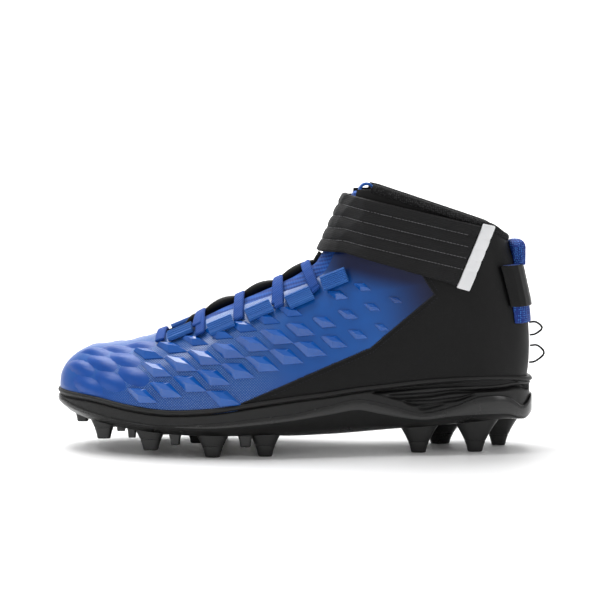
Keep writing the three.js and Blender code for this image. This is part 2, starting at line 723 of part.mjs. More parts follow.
// Laces: flat strands over the tongue, joined where they cross
const laceStart = loopLength / 2 + laceWidth / 2 + laceLift;
const laceSeat = shellStep + fitGap + laceThickness / 2;
const strandSteps = 8;

function strand(from, to, bow = 0) {
  const pointAt = (turn, y, grow) => {
    const low = bedAt(y) - grow;
    const z = low + (ridgeAt(y, grow) - low) * Math.cos(turn) ** (2 / vampPower);
    return lastPoint(y, z, Math.sign(turn), grow);
  };
  const turnOf = (end) => {
    const low = bedAt(end.y) - end.grow;
    return end.side * Math.acos(((end.z - low) / (ridgeAt(end.y, end.grow) - low)) ** (vampPower / 2));
  };
  const rings = [];
  for (let i = 0; i <= strandSteps; i += 1) {
    const share = i / strandSteps;
    const y = THREE.MathUtils.lerp(from.y, to.y, share) - 4 * bow * share * (1 - share);
    const turn = THREE.MathUtils.lerp(turnOf(from), turnOf(to), share);
    const lifted = share < 0.5 ? from.grow : to.grow;
    const grow = THREE.MathUtils.lerp(laceSeat, lifted, Math.abs(2 * share - 1) ** 3);
    const step = 0.05;
    const across = pointAt(turn - step, y, grow).sub(pointAt(turn + step, y, grow)).normalize();
    const length = pointAt(turn, y + 1, grow).sub(pointAt(turn, y - 1, grow)).normalize();
    const out = new THREE.Vector3().crossVectors(across, length).normalize();
    if (out.z < 0) out.negate();
    const middle = pointAt(turn, y, grow);
    rings.push([[1, 1], [-1, 1], [-1, -1], [1, -1]].map(([a, b]) => middle.clone()
      .addScaledVector(length, a * laceWidth / 2)
      .addScaledVector(out, b * laceThickness / 2)));
  }
  return skin(rings, true);
}

const mouth = (frame, way) => {
  const distance = way > 0 ? laceStart : -laceStart - laceTurn;
  const point = frame.point.clone().addScaledVector(frame.tangent, distance);
  return { y: point.y, z: point.z, side: frame.side, grow: frame.grow };
};
for (let i = 0; i < LOOPS.length - 1; i += 1) {
  const bow = LOOPS[i].bow * loopLength;
  const first = strand(mouth(loopFrames.outer[i], 1), mouth(loopFrames.inner[i + 1], -1), bow);
  const second = strand(mouth(loopFrames.inner[i], 1), mouth(loopFrames.outer[i + 1], -1), bow);
  addPiece(`lace_crossing_${i + 1}`, first.add(second), laceBlue);
}
addPiece('lace_bar_front', strand(mouth(loopFrames.outer[0], -1), mouth(loopFrames.inner[0], -1)), laceBlue);

// Heel pull: a mesh band wrapped round the back of the heel, which stands up behind the collar as a padded
// loop and is held by a knitted sleeve
const heelAt = (z) => heelBackAt(z, 0);

// The band's outer face between two heights. It stands further off the heel towards its top.
function heelWrap(foot, top, grow, wrap) {
  const steps = 5;
  const turns = 10;
  const rings = [];
  for (let i = 0; i <= steps; i += 1) {
    const z = THREE.MathUtils.lerp(foot, top, i / steps);
    const stand = grow + pullLean * Math.max(0, z - pullFoot);
    const front = heelAt(z) - wrap;
    const bend = (front - heelCentre) / (heelAt(z) - heelCentre);
    const half = lastHalf(heelCentre, z, 0) * cap(bend) + grow;
    const ring = [];
    for (let k = 0; k <= turns; k += 1) {
      const turn = Math.PI * (k / turns);
      const reach = (heelAt(z) + stand - front) * Math.sin(turn) ** 0.8;
      ring.push(new THREE.Vector3(lastCentre(front, z) + half * Math.cos(turn), front + reach, z));
    }
    rings.push(ring);
  }
  return skin(rings, true);
}

// The padded loop behind the collar, with a round top
function pullTube(grow) {
  const steps = 7;
  const round = pullDepth / 2;
  const rings = [];
  for (let i = 0; i <= steps; i += 1) {
    const share = i / steps;
    const z = i === 0 ? sleeveTop - grow - 1 : pullTop - round * (1 - Math.sin((Math.PI / 2) * share)) + grow;
    const size = i < 2 ? 1 : Math.max(0.2, Math.cos((Math.PI / 2) * share) ** 0.6);
    const y = heelAt(pullTop) + fitGap + round;
    rings.push(octagon(0.7, 0.45).map(([a, b]) => new THREE.Vector3(
      a * (pullWidth / 2 + grow) * size,
      y + b * (pullDepth / 2 + grow) * size,
      z,
    )));
  }
  return skin(rings, true);
}

const pullSeat = last(fitGap);
const pullForm = (grow) => (
  heelWrap(pullFoot - grow, sleeveTop + grow, pullThickness + grow, pullWrap + grow).add(pullTube(grow))
);
addPiece('heel_pull', pullForm(0).subtract(pullSeat), laceBlue);
const sleeveGrow = pullThickness + sleeveGap + sleeveThickness;
const sleeve = heelWrap(sleeveFoot, sleeveTop, sleeveGrow, pullWrap + sleeveThickness);
addPiece('heel_pull_sleeve', sleeve.subtract(pullForm(sleeveGap)).subtract(pullSeat), knitBlack);

// Two thin cord loops behind the heel
function cordLoop(name, top, bottom, reach) {
  const points = [
    [heelAt(top) + cordDiameter * 0.5, top],
    [heelAt(top) + reach * 0.55, top + 0.2],
    [heelAt(top) + reach, (top * 1.3 + bottom) / 2.3],
    [heelAt(bottom) + reach * 0.45, bottom + 0.6],
    [heelAt(bottom) + cordDiameter * 0.5, bottom],
  ].map(([y, z]) => new THREE.Vector3(0, y, z));
  const circle = new THREE.Shape().absarc(0, 0, cordDiameter / 2, 0, 2 * Math.PI);
  const geometry = new THREE.ExtrudeGeometry(circle, {
    steps: 14,
    curveSegments: 4,
    extrudePath: new THREE.CatmullRomCurve3(points, false, 'centripetal'),
    bevelEnabled: false,
  });
  addPiece(name, solidOf(geometry), knitBlack);
}
cordLoop('heel_cord_upper', pullFoot - cordDiameter, 0.436 * collarHeight, cordReach);
cordLoop('heel_cord_lower', 0.395 * collarHeight, 0.33 * collarHeight, 1.08 * cordReach);

// Pull tab on the tongue's top edge
const tabMiddle = placeOf(0.65);
const tabFoot = tongueTopHeight + fitGap;
const tabShape = new THREE.Shape();
tabShape.absarc(0, 0, tabRadius, 0, Math.PI, false);
tabShape.absarc(0, 0, tabRadius - tabThickness, Math.PI, 0, true);
const tabGeometry = new THREE.ExtrudeGeometry(tabShape, { depth: tabWidth, curveSegments: 8, bevelEnabled: false });
tabGeometry.applyMatrix4(new THREE.Matrix4().makeBasis(
  new THREE.Vector3(0, 1, 0), new THREE.Vector3(0, 0, 1), new THREE.Vector3(1, 0, 0),
));
tabGeometry.translate(lastCentre(tabMiddle, tabFoot) - tabWidth / 2, tabMiddle, tabFoot);
addPiece('tongue_pull_tab', solidOf(tabGeometry), laceBlue);

// The origin is on the ground, under the middle of the whole shoe
const bounds = new THREE.Box3().setFromObject(group);
const middle = bounds.getCenter(new THREE.Vector3());
group.position.set(-middle.x, -middle.y, -bounds.min.z);

export default group;
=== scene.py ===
import math
from functools import lru_cache

import bmesh
import bpy
import numpy as np
from mathutils import Matrix, Vector
from mathutils.bvhtree import BVHTree


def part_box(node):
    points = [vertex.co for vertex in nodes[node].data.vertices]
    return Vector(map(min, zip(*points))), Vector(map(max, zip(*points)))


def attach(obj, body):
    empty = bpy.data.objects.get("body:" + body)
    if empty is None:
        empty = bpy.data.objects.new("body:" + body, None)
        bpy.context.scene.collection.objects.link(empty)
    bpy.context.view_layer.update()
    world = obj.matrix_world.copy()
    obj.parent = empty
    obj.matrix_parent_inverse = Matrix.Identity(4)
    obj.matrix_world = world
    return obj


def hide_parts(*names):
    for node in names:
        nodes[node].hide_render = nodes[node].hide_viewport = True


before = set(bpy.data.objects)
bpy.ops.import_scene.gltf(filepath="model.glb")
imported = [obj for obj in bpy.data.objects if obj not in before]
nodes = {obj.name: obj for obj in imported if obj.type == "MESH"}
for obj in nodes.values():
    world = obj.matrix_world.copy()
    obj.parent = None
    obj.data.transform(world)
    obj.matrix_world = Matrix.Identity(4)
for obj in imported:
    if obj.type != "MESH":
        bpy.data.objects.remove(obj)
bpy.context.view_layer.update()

# Everything below is worked out in millimetres about the middle of the sole, with the toe along -Y and
# the outer side +X. The cord behind the heel and the sole's ends give where that middle lies.
MM = 0.001
cord_low, cord_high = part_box("heel_cord_upper")
sole_low, sole_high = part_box("midsole")
MIDDLE = Vector(((cord_low.x + cord_high.x) / 2, (sole_low.y + sole_high.y) / 2, 0.0))

# Sole and upper
SOLE_LENGTH = 298
BALL_WIDTH = 104
RIM_HEIGHT = 48.5
COLLAR_HEIGHT = 162
ANKLE_WIDTH = 71
ANKLE_MIDDLE = 60
TOE_CAP = 62
TOE_ROUND = 24
HEEL_CAP = 50
GAP = 0.3
UPPER_WALL = 2
UPPER_INSET = 2.2
SHELL_STEP = 0.6
FEATHER_RADIUS = 7
COLLAR_SLOPE = 0.335
COLLAR_BACK = 130.5
THROAT_FRONT = -86
THROAT_HALF = 21
THROAT_ROUND = 34
THROAT_DEPTH = 26

# Strap and lace loops
STRAP_WIDTH = 36
STRAP_RIBS = 5
STRAP_TOP = 160
STRAP_SLOPE = 0.235
STRAP_BEND = 29.8
STRAP_END = 113.5
TAB_LENGTH = 8
LOOP_LENGTH = 14.5
LOOP_WIDTH = 9.5
LOOP_HEIGHT = 4

# Camera: level with the ankle, square to the outer side
CAMERA_AWAY = 1300
CAMERA_HEIGHT = 200
CAMERA_SIDE = 3.4
AIM_HEIGHT = 92.5
CAMERA_LENS = 125.4
SENSOR_WIDTH = 36

# Lights: place and size in metres, watts, and what they face
SHOE_MIDDLE = (0, 0, 0.08)
LIGHTS = {
    "over": ((0.1, -0.35, 1.4), (0.6, 0.4), 5, SHOE_MIDDLE),
    "key": ((0.3, -0.75, 1.05), (0.3, 0.4), 3, SHOE_MIDDLE),
    "rear": ((0.7, 1.1, 0.6), (0.3, 0.8), 2.5, SHOE_MIDDLE),
    "far": ((-0.55, -0.15, 1.15), (1.2, 0.9), 17, SHOE_MIDDLE),
    "backdrop": ((-1.3, 0.0, 0.9), (3.0, 1.6), 55, (-3.0, 0.0, 0.7)),
}
WORLD_STRENGTH = 0.5


def placed(points):
    """Points in the shoe's own millimetres as metres in the frame."""
    return np.asarray(points, float).reshape(-1, 3) * MM + np.array(MIDDLE)


def linked(name, data):
    made = bpy.data.objects.new(name, data)
    bpy.context.scene.collection.objects.link(made)
    return made


# Camera and light
def look(obj, target):
    direction = Vector(target) - obj.location
    obj.rotation_euler = direction.to_track_quat("-Z", "Y").to_euler()


def add_camera():
    data = bpy.data.cameras.new("camera")
    data.lens = CAMERA_LENS
    data.sensor_width = SENSOR_WIDTH
    data.clip_start = 0.05
    data.clip_end = 20
    camera = linked("camera", data)
    camera.location = placed([(CAMERA_AWAY, CAMERA_SIDE, CAMERA_HEIGHT)])[0]
    look(camera, placed([(0, CAMERA_SIDE, AIM_HEIGHT)])[0])
    bpy.context.scene.camera = camera


def add_light(name, place, size, power, target):
    data = bpy.data.lights.new(name, "AREA")
    data.shape = "RECTANGLE"
    data.size, data.size_y = size
    data.energy = power
    light = linked(name, data)
    light.location = place
    look(light, target)


def add_world():
    world = bpy.data.worlds.new("studio")
    bpy.context.scene.world = world
    world.use_nodes = True
    background = world.node_tree.nodes["Background"]
    background.inputs["Color"].default_value = (1.0, 1.0, 1.0, 1)
    background.inputs["Strength"].default_value = WORLD_STRENGTH


add_camera()
for name, light in LIGHTS.items():
    add_light(name, *light)
add_world()
bpy.context.scene.view_settings.view_transform = "Standard"
bpy.context.scene.view_settings.look = "None"


# Materials
class Value:
    """A shader socket. Sums, differences and products of it are Math nodes."""

    def __init__(self, finish, socket):
        self.finish = finish
        self.socket = socket

    def maths(self, operation, *values):
        return self.finish.node("ShaderNodeMath", {"operation": operation}, dict(enumerate(values)))

    def __add__(self, other):
        return self.maths("ADD", self, other)

    def __sub__(self, other):
        return self.maths("SUBTRACT", self, other)

    def __rsub__(self, other):
        return self.maths("SUBTRACT", other, self)

    def __mul__(self, other):
        return self.maths("MULTIPLY", self, other)

    __radd__ = __add__
    __rmul__ = __mul__

    def max(self, other):
        return self.maths("MAXIMUM", self, other)

    def waves(self, pitch):
        """From 0 to 1 and back, once in each pitch."""
        return self.maths("SINE", self * (2 * math.pi / pitch)) * 0.5 + 0.5

    def fade(self, low, high):
        """0 below low and 1 above high, soft between."""
        settings = {"interpolation_type": "SMOOTHSTEP"}
        return self.finish.node("ShaderNodeMapRange", settings, {0: self, 1: low, 2: high})


def linear(colour):
    """An 8-bit screen colour as a linear one."""
    shares = [c / 255 for c in colour]
    return [c / 12.92 if c <= 0.04045 else ((c + 0.055) / 1.055) ** 2.4 for c in shares] + [1.0]


class Finish:
    """A material and the nodes that make it."""

    SOCKETS = {"colour": "Base Color", "roughness": "Roughness", "normal": "Normal", "coat": "Coat Weight"}

    def __init__(self, name, specular=0.5, coat_roughness=0.03):
        self.name = name
        self.material = bpy.data.materials.new(name)
        self.material.use_nodes = True
        self.tree = self.material.node_tree
        self.shader = self.tree.nodes["Principled BSDF"]
        self.shader.inputs["Specular IOR Level"].default_value = specular
        self.shader.inputs["Coat Roughness"].default_value = coat_roughness

    def node(self, kind, settings=(), values=(), output=0):
        made = self.tree.nodes.new(kind)
        for key, value in dict(settings).items():
            setattr(made, key, value)
        for key, value in dict(values).items():
            if isinstance(value, Value):
                self.tree.links.new(value.socket, made.inputs[key])
            else:
                made.inputs[key].default_value = value
        return Value(self, made.outputs[output])

    def place(self):
        return self.node("ShaderNodeTexCoord", output=3)

    def chart(self):
        return self.node("ShaderNodeUVMap", {"uv_map": "chart"})

    def parts(self, vector):
        split = self.node("ShaderNodeSeparateXYZ", values={0: vector})
        return [Value(self, split.socket.node.outputs[i]) for i in range(3)]

    def noise(self, scale, detail):
        values = {"Vector": self.place(), "Scale": scale, "Detail": detail}
        return self.node("ShaderNodeTexNoise", values=values)

    def cells(self, scale, randomness, vector=None):
        values = {"Vector": vector or self.place(), "Scale": scale, "Randomness": randomness}
        return self.node("ShaderNodeTexVoronoi", values=values)

    def mix(self, factor, a, b):
        return self.node("ShaderNodeMix", {"data_type": "RGBA"}, {0: factor, 6: a, 7: b}, output=2)

    def tint(self, factor, dark, light):
        """A mix of two screen colours."""
        return self.mix(factor, linear(dark), linear(light))

    def bump(self, height, distance):
        return self.node("ShaderNodeBump", values={"Height": height, "Distance": distance})

    def wear(self, **sockets):
        """Links what changes over the surface to the shader."""
        for key, value in sockets.items():
            self.tree.links.new(value.socket, self.shader.inputs[self.SOCKETS[key]])
        return self


def table(columns, *rows):
    """Rows of values under named columns."""
    return [dict(zip(columns.split(), row)) for row in rows]


# Plain films, mouldings and threads: two colours in clouds under a fine grain. rough is the least
# roughness and what the cloud and the grain add, and coat is the least coat, what the cloud adds and the
# coat's own roughness. Clouds and grain have a scale and a detail, depth is in metres, and rear is the
# colour towards the quarter, partly a printed fade and partly painted shade under the strap.
PLAIN_FINISHES = table(
    "name dark light specular rough cloud grain depth coat rear",
    ("scale_film", (2, 70, 152), (10, 92, 178), 0.5, (0.18, 0.12, 0), (60, 3), (1400, 2), 0.00003,
     (0.25, 0.25, 0.05), (4, 22, 72)),
    ("toe_film", (0, 58, 138), (2, 78, 164), 0.35, (0.36, 0.12, 0), (60, 3), (1400, 2), 0.00004,
     (0, 0.25, 0.25)),
    ("black_quarter", (11, 11, 12), (18, 18, 18), 0.2, (0.46, 0, 0.16), (14, 2), (1500, 3), 0.00008),
    ("midsole_foam", (16, 16, 16), (26, 26, 26), 0.35, (0.42, 0, 0.2), (20, 2), (1800, 3), 0.0001),
    ("plate_gloss", (22, 22, 22), (34, 34, 34), 0.45, (0.18, 0.16, 0), (40, 4), (700, 2), 0.00005,
     (0, 0.2, 0.1)),
    # The plate's underside finish is its plastic painted near black: painted shade on the faces that point
    # down.
    ("plate_under", (2, 2, 2), (8, 8, 8), 0.25, (0.2, 0.2, 0), (50, 4), (700, 2), 0.00005),
    ("stud_black", (8, 8, 8), (18, 18, 18), 0.5, (0.2, 0.2, 0), (50, 4), (700, 2), 0.00005),
    ("white_tab", (216, 217, 219), (238, 238, 239), 0.4, (0.4, 0.15, 0), (70, 4), (1500, 2), 0.00006),
    ("grey_thread", (70, 70, 72), (112, 112, 114), 0.35, (0.55, 0.25, 0), (1600, 2), (1600, 2), 0.0001),
    ("dark_thread", (14, 15, 20), (34, 36, 44), 0.35, (0.55, 0.25, 0), (1600, 2), (1600, 2), 0.0001),
)

# Woven cloth: pitch of the ribs in metres, how they climb along the shoe, and roughness
WOVEN_FINISHES = table(
    "name dark light pitch slope rough",
    ("tongue_cloth", (8, 38, 104), (36, 92, 176), 0.0022, 0.3, 0.8),
    ("loop_webbing", (10, 58, 138), (54, 116, 190), 0.0012, 0.42, 0.6),
    ("lace_weave", (5, 34, 96), (22, 84, 172), 0.0013, 0.9, 0.8),
)
ELASTIC_PITCH = 0.0011
CROSS_THREADS = 1.3


def quarter_fade_and_painted_strap_shade(y, z):
    """Where the shell darkens towards the black quarter and the strap above it: partly a printed fade, partly
    painted shade under the strap.
    """
    return (y + z * 0.35).fade(0.07, 0.115)


def blue_shell():
    """Glossy film over a fine dotted mesh: light beside the throat, dark towards the strap, partly a printed
    fade and partly painted shade under the strap.
    """
    f = Finish("blue_shell", 0.35, 0.12)
    _, y, z = f.parts(f.place())
    along, up, _ = f.parts(f.chart())
    strap_line = z + (y - STRAP_BEND * MM).max(0) * STRAP_SLOPE
    # Darker towards the quarter and under the strap's edge: partly a printed fade, partly painted shade cast
    # by the strap.
    rear = quarter_fade_and_painted_strap_shade(y, z).max(strap_line.fade(0.1, 0.117) * y.fade(-0.005, 0.03))
    low = 1 - z.fade(0.03, 0.065)
    toe = 1 - y.fade(-0.1, -0.07)
    slanted = f.node("ShaderNodeCombineXYZ", values={0: along + up, 1: along - up})
    dots = 1 - f.cells(600, 0.15, slanted).fade(0.12, 0.42)
    dots = dots * (1 - y.fade(-0.035, 0.0)) * y.fade(-0.125, -0.09)
    cloud = f.noise(26, 3)
    colour = f.tint(cloud, (3, 68, 142), (10, 88, 168))
    colour = f.mix(low * 0.55, colour, linear((8, 54, 134)))
    colour = f.mix(dots * 0.7, colour, linear((112, 146, 190)))
    colour = f.mix(rear, colour, linear((1, 12, 54)))
    rough = 0.3 + dots * 0.2 + cloud * 0.08 + toe * 0.1
    coat = (0.45 - dots * 0.3 - toe * 0.3) * (1 - rear * 0.8)
    relief = dots * 0.7 + f.noise(900, 2) * 0.12
    return f.wear(colour=colour, roughness=rough, coat=coat, normal=f.bump(relief, 0.00025))


def plain(name, dark, light, specular, rough, cloud, grain, depth, coat=None, rear=None):
    f = Finish(name, specular, coat[2] if coat else 0.03)
    cloud, grain = f.noise(*cloud), f.noise(*grain)
    colour = f.tint(cloud, dark, light)
    # The rear colour is partly a printed fade and partly painted shade under the strap.
    if rear:
        _, y, z = f.parts(f.place())
        colour = f.mix(quarter_fade_and_painted_strap_shade(y, z), colour, linear(rear))
    if coat:
        f.wear(coat=coat[0] + cloud * coat[1])
    rough = rough[0] + cloud * rough[1] + grain * rough[2]
    return f.wear(colour=colour, roughness=rough, normal=f.bump(grain, depth))


def woven(name, dark, light, pitch, slope, rough):
    """Woven or ribbed cloth: ribs run along the shoe and climb by slope, with a fine cross thread."""
    f = Finish(name, 0.3)
    _, y, z = f.parts(f.place())
    weave = (z - y * slope).waves(pitch) * 0.7 + (y + z * slope).waves(pitch / CROSS_THREADS) * 0.3
    cloud = f.noise(90, 3)
    colour = f.tint(weave * 0.7 + cloud * 0.3, dark, light)
    return f.wear(colour=colour, roughness=rough - 0.1 + cloud * 0.2, normal=f.bump(weave, 0.0003))


def strap_elastic():
    """Black elastic of very fine ribs."""
    f = Finish("strap_elastic", 0.3)
    _, y, z = f.parts(f.place())
    ribs = (z + y * STRAP_SLOPE).waves(ELASTIC_PITCH)
    fuzz = f.noise(2200, 2)
    colour = f.tint(ribs * 0.5 + f.noise(50, 3) * 0.5, (12, 12, 13), (26, 26, 27))
    return f.wear(colour=colour, roughness=0.66 + fuzz * 0.24, normal=f.bump(ribs * 0.5 + fuzz, 0.00022))


def black_knit():
    """Coarse black knit of the lining, the collar and the cords."""
    f = Finish("black_knit", 0.25)
    loops = f.cells(850, 0.5)
    fuzz = f.noise(2600, 2)
    colour = f.tint(loops.fade(0.1, 0.6), (48, 48, 49), (12, 12, 13))
    relief = 1 - loops + fuzz * 0.2
    return f.wear(colour=colour, roughness=0.75 + fuzz * 0.2, normal=f.bump(relief, 0.0005))


def pull_mesh():
    """Blue mesh of the heel pull: pale threads round small dark holes."""
    f = Finish("pull_mesh", 0.35)
    holes = f.cells(780, 0.35)
    colour = f.tint(holes.fade(0.15, 0.5), (60, 122, 206), (4, 40, 118))
    rough = 0.6 + f.noise(120, 2) * 0.2
    return f.wear(colour=colour, roughness=rough, normal=f.bump(holes.fade(0.1, 0.5), 0.0004))


def insole_cloth():
    f = Finish("insole_cloth")
    weave = f.cells(900, 0.2)
    rough = 0.8 + f.noise(300, 2) * 0.15
    return f.wear(
        colour=f.tint(weave, (40, 40, 42), (18, 18, 20)), roughness=rough, normal=f.bump(weave, 0.0003)
    )


finishes = [blue_shell(), strap_elastic(), black_knit(), pull_mesh(), insole_cloth()]
finishes += [plain(**row) for row in PLAIN_FINISHES] + [woven(**row) for row in WOVEN_FINISHES]
FINISHES = {finish.name: finish.material for finish in finishes}

# Plan of the sole. at is the share of the length from the toe, and the others are shares of the ball width.
OUTLINE = table(
    "at half centre",
    (0.0, 0.4, -0.075),
    (0.1, 0.425, -0.055),
    (0.2, 0.465, -0.015),
    (0.3, 0.494, 0.015),
    (0.36, 0.5, 0.03),
    (0.46, 0.462, 0.045),
    (0.56, 0.4, 0.052),
    (0.66, 0.358, 0.045),
    (0.76, 0.348, 0.022),
    (0.86, 0.35, 0.0),
    (1.0, 0.35, -0.01),
)

# Heights of the lines along the side of the sole, as shares of the rim height at the heel
SOLE_LINES = table(
    "at rim wave edge keel bed",
    (0.0, 0.78, 0.7, 0.63, 0.5, 0.72),
    (0.08, 0.745, 0.55, 0.51, 0.37, 0.6),
    (0.16, 0.66, 0.46, 0.44, 0.29, 0.52),
    (0.24, 0.61, 0.42, 0.395, 0.24, 0.475),
    (0.33, 0.64, 0.46, 0.39, 0.22, 0.475),
    (0.42, 0.72, 0.52, 0.43, 0.22, 0.55),
    (0.5, 0.785, 0.575, 0.48, 0.205, 0.64),
    (0.57, 0.83, 0.665, 0.54, 0.215, 0.71),
    (0.63, 0.88, 0.735, 0.59, 0.235, 0.75),
    (0.68, 0.91, 0.68, 0.53, 0.265, 0.77),
    (0.76, 0.96, 0.55, 0.455, 0.31, 0.78),
    (0.82, 0.985, 0.61, 0.49, 0.34, 0.79),
    (0.88, 1.0, 0.74, 0.51, 0.37, 0.8),
    (0.94, 0.99, 0.73, 0.5, 0.4, 0.81),
    (0.975, 0.96, 0.6, 0.44, 0.4, 0.82),
    (1.0, 0.93, 0.74, 0.5, 0.41, 0.82),
)

# Top line of the last, as shares of the collar height. Past the ankle it rises out of the shoe.
RIDGE = table(
    "at ridge",
    (0.0, 0.372),
    (0.09, 0.395),
    (0.155, 0.41),
    (0.22, 0.445),
    (0.27, 0.483),
    (0.32, 0.532),
    (0.37, 0.573),
    (0.42, 0.612),
    (0.47, 0.652),
    (0.51, 0.69),
    (0.545, 0.734),
    (0.568, 0.785),
    (0.589, 0.885),
    (0.612, 1.0),
    (0.65, 1.4),
    (0.72, 2.2),
    (0.85, 4.0),
    (1.0, 6.0),
)

# Back line of the heel: share of the collar height, and how far forward of the sole's end it lies
HEEL_BACK = table(
    "up forward",
    (0.2, 0.034),
    (0.25, 0.019),
    (0.3, 0.012),
    (0.38, 0.009),
    (0.46, 0.01),
    (0.54, 0.015),
    (0.64, 0.028),
    (0.73, 0.042),
    (0.8, 0.056),
    (0.9, 0.072),
    (1.1, 0.09),
)

# Studs: place along the sole, side of it (1 outer, -1 inner), lift of the foot above the ground as
# a share of the rim height, size against a full stud, and whether the tip is a separate moulding
STUDS = table(
    "name at side lift size tipped",
    ("toe_outer", 0.055, 0.35, 0.34, 0.75, False),
    ("toe_inner", 0.06, -0.6, 0.33, 0.75, False),
    ("front_outer", 0.105, 0.78, 0.175, 0.9, True),
    ("front_inner", 0.115, -0.78, 0.175, 0.9, True),
    ("small_outer_1", 0.143, 0.84, 0.29, 0.55, False),
    ("small_outer_2", 0.166, 0.84, 0.215, 0.5, False),
    ("ball_outer", 0.205, 0.82, 0.065, 1.0, True),
    ("ball_inner", 0.215, -0.82, 0.06, 1.0, True),
    ("small_outer_3", 0.256, 0.86, 0.145, 0.6, False),
    ("small_inner_1", 0.27, -0.86, 0.14, 0.6, False),
    ("mid_outer", 0.333, 0.83, 0, 1.0, True),
    ("mid_inner", 0.34, -0.83, 0, 1.0, True),
    ("small_outer_4", 0.4, 0.84, 0.13, 0.7, False),
    ("centre_front", 0.295, 0.0, 0.06, 0.9, False),
    ("rear_outer", 0.44, 0.76, 0, 0.95, True),
    ("rear_inner", 0.425, -0.8, 0, 0.95, True),
    ("heel_front_outer", 0.757, 0.62, 0, 1.0, True),
    ("heel_front_inner", 0.81, -0.62, 0, 1.3, True),
    ("heel_rear_outer", 0.875, 0.6, 0, 1.0, True),
    ("heel_rear_inner", 0.932, -0.4, 0, 0.95, True),
)


def smooth_curve(rows, key, column, scale):
    """Smooth curve through one column of a table."""
    places = [row[key] for row in rows]
    values = [row[column] for row in rows]
    last_row = len(rows) - 1
    slopes = []
    for i in range(len(rows)):
        a, b = max(i - 1, 0), min(i + 1, last_row)
        slopes.append((values[b] - values[a]) / (places[b] - places[a]))

    def through(place):
        i = 0
        while i < last_row - 1 and place > places[i + 1]:
            i += 1
        span = places[i + 1] - places[i]
        t = min(max((place - places[i]) / span, 0), 1)
        rise = 3 * t * t - 2 * t ** 3
        bend = span * (slopes[i] * t * (1 - t) ** 2 + slopes[i + 1] * t * t * (t - 1))
        return (values[i] + (values[i + 1] - values[i]) * rise + bend) * scale

    return lru_cache(None)(through)


TOE = -SOLE_LENGTH / 2
HEEL = SOLE_LENGTH / 2
TOE_CENTRE = TOE + TOE_CAP
HEEL_CENTRE = HEEL - HEEL_CAP


def share_of(y):
    return (y - TOE) / SOLE_LENGTH


def place_of(share):
    return TOE + share * SOLE_LENGTH


def along_sole(rows, column, scale):
    through = smooth_curve(rows, "at", column, scale)
    return lambda y: through(share_of(y))


outline_half = along_sole(OUTLINE, "half", BALL_WIDTH)
outline_centre = along_sole(OUTLINE, "centre", BALL_WIDTH)
rim_at = along_sole(SOLE_LINES, "rim", RIM_HEIGHT)
wave_at = along_sole(SOLE_LINES, "wave", RIM_HEIGHT)
edge_at = along_sole(SOLE_LINES, "edge", RIM_HEIGHT)
keel_at = along_sole(SOLE_LINES, "keel", RIM_HEIGHT)
bed_at = along_sole(SOLE_LINES, "bed", RIM_HEIGHT)
ridge_table = along_sole(RIDGE, "ridge", COLLAR_HEIGHT)
heel_forward = smooth_curve(HEEL_BACK, "up", "forward", SOLE_LENGTH)


def ramp(low, high, value):
    t = min(max((value - low) / (high - low), 0), 1)
    return t * t * (3 - 2 * t)


def mix(a, b, share):
    return a + (b - a) * share


def rounded(share, power):
    height = max(0, 1 - min(1, abs(share)) ** power) ** (1 / power)
    return 0 if height < 1e-4 else height


CAP_POWER = 2.25
STATIONS_AT_TOE = 0.25
STATIONS_TO_HEEL = 0.78


def cap(share):
    return rounded(share, CAP_POWER)


def plan_half(y, inset):
    front = cap((TOE_CENTRE - y) / (TOE_CAP - inset)) if y < TOE_CENTRE else 1
    back = cap((y - HEEL_CENTRE) / (HEEL_CAP - inset)) if y > HEEL_CENTRE else 1
    return (outline_half(y) - inset) * front * back


def station(t, inset):
    """Place along the sole for t from 0 at the toe to 1 at the heel, closer together at the ends."""
    if t < STATIONS_AT_TOE:
        return TOE_CENTRE - (TOE_CAP - inset) * math.cos(math.pi / 2 * t / STATIONS_AT_TOE)
    if t < STATIONS_TO_HEEL:
        share = (t - STATIONS_AT_TOE) / (STATIONS_TO_HEEL - STATIONS_AT_TOE)
        return mix(TOE_CENTRE, HEEL_CENTRE, share)
    turn = math.pi / 2 * (t - STATIONS_TO_HEEL) / (1 - STATIONS_TO_HEEL)
    return HEEL_CENTRE + (HEEL_CAP - inset) * math.sin(turn)


# Last: it narrows to the ankle between two places and two heights, and its centre line straightens
COLUMN_TOP = COLLAR_HEIGHT * 1.08
ANKLE_START = place_of(0.42)
ANKLE_FULL = place_of(0.63)
NARROW_LOW = 0.3 * COLLAR_HEIGHT
NARROW_HIGH = 0.68 * COLLAR_HEIGHT
STRAIGHT_HIGH = 0.7 * COLLAR_HEIGHT
STRAIGHT_SHARE = 0.75
TOE_TIP_RISE = 0.06
VAMP_POWER = 2.3
CORNER_STEPS = 6


@lru_cache(None)
def ridge_at(y, grow):
    into = (y - TOE - UPPER_INSET + grow) / TOE_ROUND
    tip = rim_at(TOE) + TOE_TIP_RISE * RIM_HEIGHT
    closing = math.sqrt(max(0, 1 - (1 - into) ** 2)) if into < 1 else 1
    slope = math.atan(ridge_table(y + 0.5) - ridge_table(y - 0.5))
    top = ridge_table(y + grow * math.sin(slope))
    return max(tip + (top - tip) * closing + grow * math.cos(slope), bed_at(y) - grow + 1)


def heel_back(z, grow=0.0):
    return HEEL - heel_forward(z / COLLAR_HEIGHT) + grow


def last_half(y, z, grow):
    low = bed_at(y) - grow
    high = ridge_at(y, grow)
    arch = rounded(min(max((z - low) / (high - low), 0), 1), VAMP_POWER)
    ankle = ramp(ANKLE_START, ANKLE_FULL, y) * ramp(NARROW_LOW, NARROW_HIGH, z)
    return (mix(outline_half(y) - UPPER_INSET, ANKLE_WIDTH / 2, ankle) + grow) * arch


def last_centre(y, z):
    return outline_centre(y) * (1 - STRAIGHT_SHARE * ramp(NARROW_LOW, STRAIGHT_HIGH, z))


def front_closing(y, grow):
    return cap((TOE_CENTRE - y) / (TOE_CAP - UPPER_INSET + grow)) if y < TOE_CENTRE else 1


